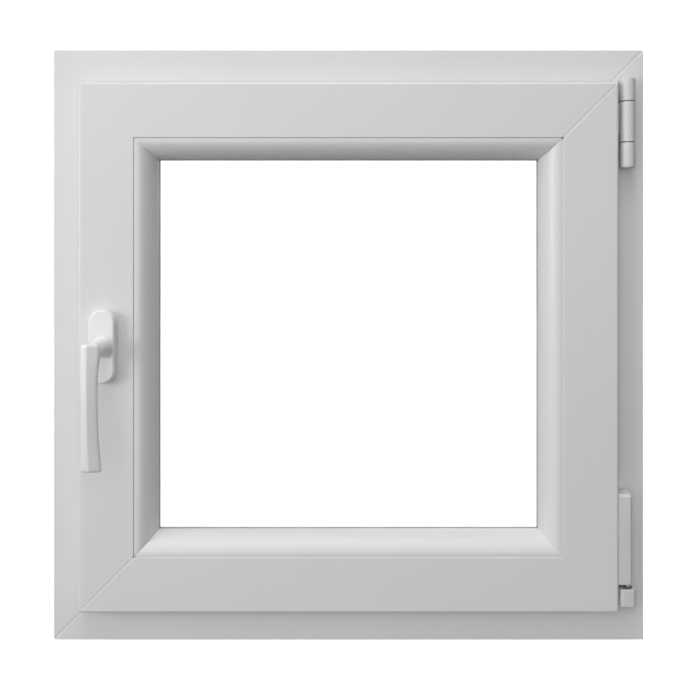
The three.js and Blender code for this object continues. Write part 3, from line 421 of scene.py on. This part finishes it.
def circle(radius, sides):
    """Points evenly round a circle."""
    angles = [2 * math.pi * k / sides for k in range(sides)]
    return [(radius * math.cos(angle), radius * math.sin(angle)) for angle in angles]


def upright_rings(profile, sides):
    """Circles round the hinge axis, one for each (radius, z)."""
    return [[(AXIS_X + x, AXIS_Y + y, z) for x, y in circle(radius, sides)] for radius, z in profile]


def spindle_rings(profile, sides):
    """Circles round the spindle, one for each (radius, y)."""
    return [[(HANDLE_X + x, y, HANDLE_Z + z) for x, z in circle(radius, sides)] for radius, y in profile]


def bore(z0, z1, radius):
    """A round bar along the hinge axis."""
    return sweep(upright_rings([(radius, z0), (radius, z1)], 32))


def turned(x, z, turns):
    """A point of the bottom bar, turned to the left (1), top (2) or right (3) side."""
    for _ in range(turns):
        x, z = z, -x
    return x, z


def bar(section, chambers, half_length, half_across, turns):
    """A hollow mitred bar. Its ends are drawn in a little, so that two bars meet in a weld groove."""
    loops = [rounded(section)] + [rounded(chamber) for chamber in chambers]
    if area(loops[0]) < 0:
        loops[0].reverse()
    for chamber in loops[1:]:
        if area(chamber) > 0:
            chamber.reverse()

    points = []
    faces = []

    def ring(loop, side, back):
        """Adds a loop at one end of the bar, moved back from the mitre."""
        start = len(points)
        for p in loop:
            reach = half_length - p.x - MITRE_GAP - back
            x, z = turned(side * reach, p.x - half_across, turns)
            points.append((x, p.y, z + CENTRE_Z))
        return start

    def join(a, b, count):
        """Adds the faces between two equal loops."""
        for i in range(count):
            j = (i + 1) % count
            faces.append((a + i, b + i, b + j, a + j))

    # The lower left corner joins bars 0 and 1, the upper right one bars 2 and 3.
    deep_side = -1 if turns % 2 == 0 else 1
    welds = {deep_side: DEEP_WELD, -deep_side: FINE_WELD}
    skin = loops[0]
    drawn_in = {side: inset(skin, welds[side]["depth"]) for side in (-1, 1)}
    rings = [
        ring(drawn_in[-1], -1, 0),
        ring(skin, -1, welds[-1]["width"]),
        ring(skin, 1, welds[1]["width"]),
        ring(drawn_in[1], 1, 0),
    ]
    for a, b in zip(rings, rings[1:]):
        join(a, b, len(skin))
    ends = {-1: [rings[0]], 1: [rings[-1]]}
    for loop in loops[1:]:
        left, right = ring(loop, -1, 0), ring(loop, 1, 0)
        join(left, right, len(loop))
        ends[-1].append(left)
        ends[1].append(right)

    lengths = [len(loop) for loop in loops]
    for side in (-1, 1):
        flat = [[Vector((p.x, p.y, 0)) for p in loop] for loop in [drawn_in[side]] + loops[1:]]
        where = [start + i for start, length in zip(ends[side], lengths) for i in range(length)]
        for a, b, c in tessellate_polygon(flat):
            faces.append((where[a], where[b], where[c]))
    return points, faces


def recalculated(made, angle=SHARP_ANGLE):
    """Turns every face outwards."""
    work = bmesh.new()
    work.from_mesh(made.data)
    bmesh.ops.remove_doubles(work, verts=work.verts, dist=1e-7)
    bmesh.ops.recalc_face_normals(work, faces=work.faces)
    work.to_mesh(made.data)
    work.free()
    shaded(made, angle)


def four_bars(names, section, chambers, width, height, body):
    """The bottom, left, top and right bars of a ring of four."""
    made = {}
    for turns, name in enumerate(names):
        upright = turns % 2 == 1
        half_length, half_across = (height / 2, width / 2) if upright else (width / 2, height / 2)
        points, faces = bar(section, chambers, half_length, half_across, turns)
        look = PVC_Z if upright else PVC_X
        made[name] = piece(name + "_profile", points, faces, body, look, [name])
        recalculated(made[name])
    return made


def ring_round(section, width, height):
    """A section carried once round a rectangle."""
    loop = rounded(section)
    rings = []
    for sx, sz in ((-1, -1), (1, -1), (1, 1), (-1, 1)):
        rings.append([(sx * (width / 2 - p.x), p.y, CENTRE_Z + sz * (height / 2 - p.x)) for p in loop])
    return sweep(rings, closed=True)


# ---------------------------------------------------------------- frame and sash profiles

frame_section = [
    (0, -35, 1), (41.5, -35, 2), (41.5, 6, 0.6), (37.5, 9, 0.6), (37.5, 21, 0.8), (56, 21), (56, 24.5),
    (60, 24.5), (60, 21), (64, 21, 0.8), (62.5, 35, 1.5), (0, 35, 1), (0, 22, 0.4), (5, 22, 0.6),
    (5, 14, 0.6), (0, 14, 0.4), (0, -14, 0.4), (5, -14, 0.6), (5, -22, 0.6), (0, -22, 0.4),
]
frame_chambers = [
    [(8, -32.2, 1), (38.7, -32.2, 1), (38.7, -20, 1), (8, -20, 1)],
    [(8, -18, 1), (38.5, -18, 1), (38.5, 5, 1), (8, 5, 1)],
    [(8, 9, 1), (34.8, 9, 1), (34.8, 19, 1), (8, 19, 1)],
    [(3, 26.6, 1), (59.5, 26.6, 1), (59.5, 32.2, 1), (3, 32.2, 1)],
]
frame_names = ["frame_sill", "frame_jamb_left", "frame_head", "frame_jamb_right"]
frame_bars = four_bars(frame_names, frame_section, frame_chambers, FRAME_SIZE, FRAME_SIZE, "frame")


def slot_cutter(x, z, y0, y1, half=14, radius=2.5):
    """A drain slot with round ends."""
    ring = []
    steps = 8
    for centre, start in ((half, -90), (-half, 90)):
        for k in range(steps + 1):
            angle = math.radians(start + 180 / steps * k)
            ring.append((x + centre + radius * math.cos(angle), z + radius * math.sin(angle)))
    return sweep([[(px, y, pz) for px, pz in ring] for y in (y1, y0)])


# The two drain slots are in the sill's weather face.
carve(frame_bars["frame_sill"], [slot_cutter(x, 16, 30, 37) for x in (-190, 190)])

sash_section = [
    (-1, -53, 3), (54.6, -53, 0.9), (54.6, -46), (50, -46), (50, -41), (53, -41), (53, 2), (58, 2), (58, 5),
    (62, 5), (62, 2), (64.5, 2, 0.6), (58.6, 17, 1.5), (18.5, 17, 2), (18.5, -17.7, 0.3), (21.2, -17.7),
    (21.2, -20, 0.3), (27.5, -20, 0.5), (27.5, -32, 0.5), (21.2, -32, 0.3), (21.2, -34.3),
    (18.5, -34.3, 0.3), (18.5, -39, 0.5), (10, -39), (10, -42), (6, -42), (6, -39), (-1, -39, 1),
]
sash_chambers = [
    [(3, -50.2, 0.8), (46.5, -50.2, 0.8), (46.5, -44.8, 0.8), (3, -44.8, 0.8)],
    [(30, -38.5, 1), (50, -38.5, 1), (50, -7, 1), (30, -7, 1)],
    [(21.5, -5, 1), (50, -5, 1), (50, 6.5, 1), (21.5, 6.5, 1)],
    [(21.5, 8, 1), (58, 8, 1), (56.5, 14.2, 1), (21.5, 14.2, 1)],
]
sash_names = ["sash_bottom_rail", "sash_stile_left", "sash_top_rail", "sash_stile_right"]
sash_bars = four_bars(sash_names, sash_section, sash_chambers, SASH_WIDTH, SASH_HEIGHT, "sash")

# The pocket for the gear case, and the hole for the spindle.
SPINDLE_HOLE = 6.5
carve(
    sash_bars["sash_stile_left"],
    [
        box((-248, -33.5, 257), (-228.6, -18.5, 351)),
        sweep(spindle_rings([(SPINDLE_HOLE, -30), (SPINDLE_HOLE, -60)], 24)),
    ],
)

# Glazing bead: a narrow flat, then a convex quarter that grows steeper all the way to the glass.
bead_section = (
    [(54.65, -52.2, 0.5)]
    + bend((57.2, -52.2), (63.8, -52.2), (70.8, -45.5), (74.7, -32.8))
    + [
        (74.9, -31.6), (74.9, -29, 0.4), (72.8, -28), (70.6, -28), (70.6, -31.4), (66.6, -31.4),
        (66.6, -28), (59, -28), (59, -41.4), (50.5, -41.4), (50.5, -45.4), (54.65, -45.4),
    ]
)
bead_chambers = [[(60.5, -47), (64.3, -45.8), (68, -38.5), (69.2, -33), (61, -33)]]
bead_names = ["bead_bottom", "bead_left", "bead_top", "bead_right"]
four_bars(bead_names, bead_section, bead_chambers, SASH_WIDTH, SASH_HEIGHT, "sash")

# ---------------------------------------------------------------- seals

inner_seal = [
    (67, -31), (67, -27.7), (66, -27.7), (66.5, -25.3), (75.2, -25.3, 0.3), (75.4, -27, 0.6), (74.4, -27.7),
    (70.2, -27.7), (70.2, -31),
]
outer_seal = [
    (58.4, 4.6), (61.6, 4.6), (61.6, 1.7), (64.4, 1.7, 0.4), (65.2, 0.5, 0.5), (65.2, -0.7, 0.2), (57, -0.7),
    (57, 1.7), (58.4, 1.7),
]
frame_seal = [
    (56.4, 24.2), (59.6, 24.2), (59.6, 20.7), (62.6, 20.7, 0.3), (62.6, 20, 0.3), (59.6, 17.7, 0.5),
    (57.8, 17.9, 0.5), (54.6, 19.2, 0.4), (54.4, 20.7), (56.4, 20.7),
]
sash_seal = [
    (6.4, -41.6), (9.6, -41.6), (9.6, -38.7), (12, -38.7, 0.3), (9.4, -36, 0.6), (6.2, -36, 0.6),
    (4, -38.7, 0.3), (6.4, -38.7),
]
# The sash's seal is cut away where the hinges cross it, between these heights.
SEAL_GAPS = ((66, 153), (511, 556))
for name, section, size, body in (
    ("glazing_gasket_inner", inner_seal, (SASH_WIDTH, SASH_HEIGHT), "sash"),
    ("glazing_gasket_outer", outer_seal, (SASH_WIDTH, SASH_HEIGHT), "sash"),
    ("frame_gasket", frame_seal, (FRAME_SIZE, FRAME_SIZE), "frame"),
    ("sash_gasket", sash_seal, (SASH_WIDTH, SASH_HEIGHT), "sash"),
):
    points, faces = ring_round(section, *size)
    seal = piece(name + "_lip", points, faces, body, RUBBER, [name])
    recalculated(seal)
    if name == "sash_gasket":
        carve(seal, [box((254.5, -38.9, low), (268.5, -34, high)) for low, high in SEAL_GAPS])

# ---------------------------------------------------------------- handle

# Its middle is shifted from the spindle, away from the glass.
ROSETTE = {"shift": -1.8, "half_width": 13.2, "half_height": 36.3, "wall": 2.2}


def stadium(half_width, half_height, count=48):
    """Points round a rounded plate with nearly half-round ends, counted from its right side."""
    radius = half_width - 0.4
    loop = []
    for k in range(count):
        angle = 2 * math.pi * (k + 0.5) / count
        across, up = math.cos(angle), math.sin(angle)
        x = math.copysign(half_width - radius, across) + radius * across
        z = math.copysign(half_height - radius, up) + radius * up
        loop.append((x, z))
    return loop


def rosette_ring(height, drawn):
    """The rosette's outline, drawn in by an amount, at a height above the sash."""
    loop = stadium(ROSETTE["half_width"] - drawn, ROSETTE["half_height"] - drawn)
    middle = HANDLE_X + ROSETTE["shift"]
    return [(middle + x, SASH_FACE - height, HANDLE_Z + z) for x, z in loop]


def rosette_cover():
    """A hollow cover with a rounded edge and a round hole for the lever's neck."""
    steps = ((0.3, 0), (7.6, 0.1), (8.7, 0.3), (9.4, 0.8), (9.85, 1.5), (10, 2.3))
    rings = [rosette_ring(height, drawn) for height, drawn in steps]
    # The hole's points stand at the angles of a nearly round outline, so that the faces don't twist.
    angles = [math.atan2(z, x) for x, z in stadium(13.4, 13.5)]
    for radius, height in ((8.9, 10), (8.7, 9.8), (8.7, 7.6)):
        hole = [(radius * math.cos(angle), radius * math.sin(angle)) for angle in angles]
        rings.append([(HANDLE_X + x, SASH_FACE - height, HANDLE_Z + z) for x, z in hole])
    rings.append(rosette_ring(7.6, ROSETTE["wall"]))
    rings.append(rosette_ring(0.3, ROSETTE["wall"]))
    return sweep(rings, closed=True)


points, faces = rosette_cover()
rosette = piece(
    "handle_rosette", points, faces, "sash", HANDLE_PLASTIC, ["handle_cover"]
)
recalculated(rosette, ROSETTE_SHARP_ANGLE)

LEVER_END = 112  # below the spindle
LEVER_HEAD = 9.6  # above it
LEVER_MIDDLE = -104  # the depth of the lever's middle at its head
LEVER_HALF_DEPTH = 6.2
END_ROUNDING = 3.2
ELBOW = {"swell": 2.0, "reach": 14}  # the head swells to the right, where the neck joins it


def lever_ring(drop):
    """The lever's outline at a distance below the spindle, with a ridge along its front."""
    below = max(0.0, drop) / LEVER_END
    half = 8.3 - 0.4 * math.sin(math.pi * below) + 2.0 * below**4
    thin = 1 - 0.22 * below
    lean = 1.5 * math.sin(math.pi * below) - 5.5 * below**2
    elbow = ELBOW["swell"] * math.exp(-((max(0.0, drop) / ELBOW["reach"]) ** 2))
    from_end = min(drop + LEVER_HEAD, LEVER_END - drop)
    short = max(0.0, END_ROUNDING - from_end)
    drawn = END_ROUNDING - math.sqrt(END_ROUNDING**2 - short**2)
    left, right = half, half + elbow
    outline = (
        (-left, 0.8), (-left + 0.4, -1.9), (-left + 1.5, -4.1), (-2.4, -5.8), (-0.8, -6.1),
        (right - 2.2, -3.0), (right - 0.6, -2.0), (right, -0.2), (right - 0.6, 2.6), (right - 3, 4.6),
        (0.0, 5.2), (-left + 3, 4.6), (-left + 0.6, 2.8),
    )
    narrowed = 1 - drawn / half
    flattened = thin * (1 - drawn / LEVER_HALF_DEPTH)
    middle = LEVER_MIDDLE - lean
    return [(HANDLE_X + x * narrowed, middle + y * flattened, HANDLE_Z - drop) for x, y in outline]


# The lever's neck as (radius, y): a broad foot on the rosette, drawn in and widening again to the head.
NECK_PROFILE = (
    (8.1, -58), (8.1, -63.3), (10.2, -63.9), (10.2, -64.4), (9.7, -65.2), (9.1, -66.9), (8.6, -69.5),
    (8.1, -74), (7.8, -80), (7.9, -87), (8.4, -93), (8.9, -99), (8.6, -104),
)

# The distances below the spindle at which the lever's outline is drawn, closer together at its ends.
near_ends = (0, 0.15, 0.5, 1.1, 1.9, 3.2)
between = 26
drops = [-LEVER_HEAD + d for d in near_ends]
drops += [-LEVER_HEAD + 6 + (LEVER_END + LEVER_HEAD - 10) * k / between for k in range(between + 1)]
drops += [LEVER_END - d for d in reversed(near_ends)]
points, faces = sweep([lever_ring(drop) for drop in drops])
neck_points, neck_faces = sweep(spindle_rings(NECK_PROFILE, 40))
start = len(points)
points += neck_points
faces += [tuple(i + start for i in face) for face in neck_faces]
lever = piece("handle_grip", points, faces, "handle", COAT, ["handle_lever"])
recalculated(lever, LEVER_SHARP_ANGLE)
# The lever and its neck grow together into one smooth skin.
remesh = lever.modifiers.new("blend", "REMESH")
remesh.mode = "VOXEL"
remesh.voxel_size = 0.0006
relax = lever.modifiers.new("relax", "SMOOTH")
relax.factor = 0.5
relax.iterations = 6
bake(lever, LEVER_SHARP_ANGLE)

# ---------------------------------------------------------------- hinges


def sleeve(z0, z1, dome_low, dome_high):
    """A turned cover with softened ends, closed by a shallow dome where it is a free end."""
    outer = 7.55
    sides = 40
    dome = [(4.5, 0), (6.2, 0.3), (7.1, 1.0), (outer, 2.2)]
    joint = [(5.8, 0), (outer - 0.6, 0), (outer - 0.15, 0.2), (outer, 0.7)]
    low = dome if dome_low else joint
    high = dome if dome_high else joint
    profile = [(r, z0 + d) for r, d in low] + [(r, z1 - d) for r, d in reversed(high)]
    return sweep(upright_rings(profile, sides))


# Each sleeve is hollow round the hinge pin, and slit at its back for the arm or plate that it covers.
PIN_BORE = 5.75
DOME_WALL = 1.6
for name, node, z0, z1, body, dome_low, dome_high, slit in (
    ("hinge_sleeve_low", "stay_bearing_cap_lower", 479, 504.6, "frame", True, False, (-4.4, 4.4)),
    ("hinge_sleeve_middle", "stay_arm_cap", 505.4, 545.6, "stay_arm", False, False, (-8, -0.6)),
    ("hinge_sleeve_high", "stay_bearing_cap_upper", 546.4, 570, "frame", False, True, (-4.4, 4.4)),
):
    points, faces = sleeve(z0, z1, dome_low, dome_high)
    cover = piece(name, points, faces, body, CAP, [node])
    recalculated(cover)
    low = z0 + DOME_WALL if dome_low else z0 - 1
    high = z1 - DOME_WALL if dome_high else z1 + 1
    carve(
        cover,
        [
            bore(low, high, PIN_BORE),
            box((AXIS_X + slit[0], AXIS_Y + 2, low), (AXIS_X + slit[1], AXIS_Y + 10, high)),
        ],
        HINGE_SHARP_ANGLE,
    )


def moulded_block(outline, steps):
    """A vertical moulding. The outline function draws it at each (z, drawn) step, drawn in by that much."""
    rings = []
    for z, drawn in steps:
        loop = rounded(outline(drawn))
        rings.append([(p.x, p.y, z) for p in loop])
    return sweep(rings)


def band_outline(drawn):
    """The tall cover of the lower hinge. Its front is drawn back more than its sides."""
    left, right = 268.8 + 0.3 * drawn, AXIS_X + 2.8 - 0.3 * drawn
    front, back = AXIS_Y - 7.5 + drawn, AXIS_Y + 6.6
    return [(left, back), (left, front, 1), (right, front, 3), (right, back, 2)]


def bearing_outline(drawn):
    """The short cover of the lower hinge."""
    left, right = AXIS_X - 9.7 + drawn, AXIS_X + 6.9 - drawn
    front, back = AXIS_Y - 7.4 + drawn, -35.4
    return [(left, back), (left, front, 4), (right, front, 4), (right, back)]


BAND_STEPS = (
    (63, 0.5), (63.15, 0.18), (63.5, 0), (150.6, 0), (150.9, 0.1), (152.6, 1.5), (153, 2), (153.2, 2.6),
)
points, faces = moulded_block(band_outline, BAND_STEPS)
band_cover = piece(
    "corner_band_cover", points, faces, "sash", CAP, ["corner_band_cap"]
)
recalculated(band_cover)
# Hollow for the band's neck, the hole over the pivot, and the opening for the band's arm.
carve(
    band_cover,
    [
        box((AXIS_X - 5.3, AXIS_Y - 5.3, 62), (AXIS_X + 0.9, AXIS_Y + 4, 152)),
        bore(62, 66, 2.4),
        box((267.8, AXIS_Y - 1, 62), (AXIS_X + 0.5, AXIS_Y + 10, 152)),
    ],
    HINGE_SHARP_ANGLE,
)

BEARING_STEPS = ((40.2, 1.2), (40.56, 0.42), (41.4, 0), (57.2, 0), (57.76, 0.28), (58, 0.8))
points, faces = moulded_block(bearing_outline, BEARING_STEPS)
bearing_cover = piece(
    "corner_bearing_cover", points, faces, "frame", CAP, ["corner_bearing_cap"]
)
recalculated(bearing_cover)
# Hollow for the pivot's cup, the opening at its back, and the hole in its top.
carve(
    bearing_cover,
    [
        bore(41.6, 54.2, 5.8),
        box((AXIS_X - 5.8, AXIS_Y, 41.6), (AXIS_X + 5.8, -34, 54.2)),
        bore(53, 59, 4.6),
    ],
    HINGE_SHARP_ANGLE,
)

# ---------------------------------------------------------------- finishes of the CAD nodes that stay

LOOKS = {
    "galvanised_steel": STEEL,
    "black_sealant": SEALANT,
    "clear_glass": GLASS,
    "aluminium_spacer": SPACER,
    "setting_block_plastic": BLOCK,
    "zinc_plated_steel": ZINC,
}


def smooth_by_angle():
    """A modifier group that shades a mesh smooth across its shallow edges."""
    group = bpy.data.node_groups.new("shade_smooth_by_angle", "GeometryNodeTree")
    group.interface.new_socket("Geometry", in_out="INPUT", socket_type="NodeSocketGeometry")
    group.interface.new_socket("Geometry", in_out="OUTPUT", socket_type="NodeSocketGeometry")
    nodes, links = group.nodes, group.links
    entry, leave = nodes.new("NodeGroupInput"), nodes.new("NodeGroupOutput")
    angle = nodes.new("GeometryNodeInputMeshEdgeAngle")
    shallow = nodes.new("FunctionNodeCompare")
    shallow.operation = "LESS_THAN"
    shallow.inputs[1].default_value = math.radians(SHARP_ANGLE)
    faces_smooth = nodes.new("GeometryNodeSetShadeSmooth")
    faces_smooth.domain = "FACE"
    edges_smooth = nodes.new("GeometryNodeSetShadeSmooth")
    edges_smooth.domain = "EDGE"
    links.new(entry.outputs[0], faces_smooth.inputs["Geometry"])
    links.new(angle.outputs["Unsigned Angle"], shallow.inputs[0])
    links.new(faces_smooth.outputs[0], edges_smooth.inputs["Geometry"])
    links.new(shallow.outputs[0], edges_smooth.inputs["Shade Smooth"])
    links.new(edges_smooth.outputs[0], leave.inputs[0])
    return group


SMOOTH = smooth_by_angle()
slot_of = {row["node"]: row["material_slot"] for row in frame["record"]["subparts"]}
for name, node in frame["nodes"].items():
    look = LOOKS.get(slot_of[name])
    if look is None:
        continue
    node.data.materials.clear()
    node.data.materials.append(look)
    if slot_of[name] == "zinc_plated_steel":
        soften = node.modifiers.new("soften", "BEVEL")
        soften.width = 0.00025
        soften.segments = 2
        soften.limit_method = "ANGLE"
        soften.angle_limit = math.radians(40)
    group = node.modifiers.new("shading", "NODES")
    group.node_group = SMOOTH
    even_normals(node)

# ---------------------------------------------------------------- stage, light and camera


def stage_mesh(name, points, faces, look):
    """A pale part of the studio. It is only seen, and throws no light onto the window."""
    mesh = bpy.data.meshes.new(name)
    mesh.from_pydata(points, [], faces)
    mesh.materials.append(look)
    made = bpy.data.objects.new(name, mesh)
    made.visible_diffuse = False
    made.visible_glossy = False
    made.visible_shadow = False
    bpy.context.scene.collection.objects.link(made)


def studio_paint(name, albedo, emission):
    """A matt paint that glows, so that it looks white under any light."""
    made, tree, shader, coordinates = material(name, Base_Color=(*grey(albedo), 1), Roughness=1.0)
    shader.inputs["Specular IOR Level"].default_value = 0
    shader.inputs["Emission Color"].default_value = (1, 1, 1, 1)
    shader.inputs["Emission Strength"].default_value = emission
    return made, tree, shader, coordinates


# The floor glows a little less close to the window: a painted soft shadow.
floor_look, floor_tree, floor_shader, floor_coordinates = studio_paint("pale_floor", 0.5, 1.0)
painted_shadow_nearness = floor_tree.nodes.new("ShaderNodeTexGradient")
painted_shadow_nearness.gradient_type = "SPHERICAL"
placed = stretched(floor_tree, floor_coordinates, (1.7, 3.6, 1.0))
floor_tree.links.new(placed, painted_shadow_nearness.inputs["Vector"])
# Painted shadow: the floor's glow falls from 1.25 far off to 0.8 near the window.
glow_with_painted_shadow = floor_tree.nodes.new("ShaderNodeMapRange")
glow_with_painted_shadow.interpolation_type = "SMOOTHSTEP"
glow_with_painted_shadow.inputs["From Max"].default_value = 0.7
glow_with_painted_shadow.inputs["To Min"].default_value = 1.25
glow_with_painted_shadow.inputs["To Max"].default_value = 0.8
floor_tree.links.new(painted_shadow_nearness.outputs["Fac"], glow_with_painted_shadow.inputs["Value"])
floor_tree.links.new(glow_with_painted_shadow.outputs["Result"], floor_shader.inputs["Emission Strength"])

FLOOR_REACH = 6  # metres from the middle to each side
stage_mesh(
    "floor",
    [(x * FLOOR_REACH, y * FLOOR_REACH, 0) for x, y in ((-1, -1), (1, -1), (1, 1), (-1, 1))],
    [(0, 1, 2, 3)],
    floor_look,
)

# A round white wall and ceiling close the studio above the floor.
DOME_SIDES = 48
DOME_RINGS = 12
DOME_RADIUS = FLOOR_REACH * 0.98
DOME_FOOT = -0.01
dome_rings = []
for k in range(DOME_RINGS):
    lift = math.pi / 2 * k / DOME_RINGS
    height = DOME_RADIUS * math.sin(lift) + DOME_FOOT
    dome_rings.append([(x, y, height) for x, y in circle(DOME_RADIUS * math.cos(lift), DOME_SIDES)])
dome_points, dome_faces = sweep(dome_rings, caps=False)
dome_faces.append(tuple((DOME_RINGS - 1) * DOME_SIDES + k for k in range(DOME_SIDES)))
wall_look, *_ = studio_paint("white_wall", 0.0, 1.3)
stage_mesh("studio_wall", dome_points, dome_faces, wall_look)

world = bpy.data.worlds.new("studio")
world.use_nodes = True
world.node_tree.nodes["Background"].inputs["Color"].default_value = (1, 1, 1, 1)
world.node_tree.nodes["Background"].inputs["Strength"].default_value = WORLD_LIGHT
bpy.context.scene.world = world

LIGHT_TARGET = Vector((0, -0.04, 0.3))  # the middle of the window


def soft_light(name, direction, distance, size, power):
    """A square soft box that faces the middle of the window."""
    data = bpy.data.lights.new(name, "AREA")
    data.shape = "SQUARE"
    data.size = size
    data.energy = power
    made = bpy.data.objects.new(name, data)
    way = Vector(direction).normalized()
    made.location = LIGHT_TARGET + way * distance
    made.rotation_euler = way.to_track_quat("Z", "Y").to_euler()
    bpy.context.scene.collection.objects.link(made)


soft_light("side_light", **SIDE_LIGHT)
soft_light("top_light", **TOP_LIGHT)
soft_light("high_light", **HIGH_LIGHT)
soft_light("front_light", **FRONT_LIGHT)
soft_light("back_light", **BACK_LIGHT)

CAMERA_HEIGHT = 0.422
CAMERA_DISTANCE = 0.82  # from the frame's room face
FRAME_FACE = -0.035
VIEW_WIDTH = 0.712  # what the image spans at that face
SENSOR_WIDTH = 36

camera_data = bpy.data.cameras.new("camera")
camera_data.sensor_width = SENSOR_WIDTH
camera_data.lens = SENSOR_WIDTH * CAMERA_DISTANCE / VIEW_WIDTH
camera_data.shift_x = 0.0022
camera_data.shift_y = -0.1786
camera_data.clip_start = 0.01
camera = bpy.data.objects.new("camera", camera_data)
camera.location = (0, FRAME_FACE - CAMERA_DISTANCE, CAMERA_HEIGHT)
camera.rotation_euler = (math.radians(90), 0, 0)
bpy.context.scene.collection.objects.link(camera)
bpy.context.scene.camera = camera

bpy.context.scene.view_settings.view_transform = "Standard"
bpy.context.scene.view_settings.look = "None"

bpy.context.view_layer.update()
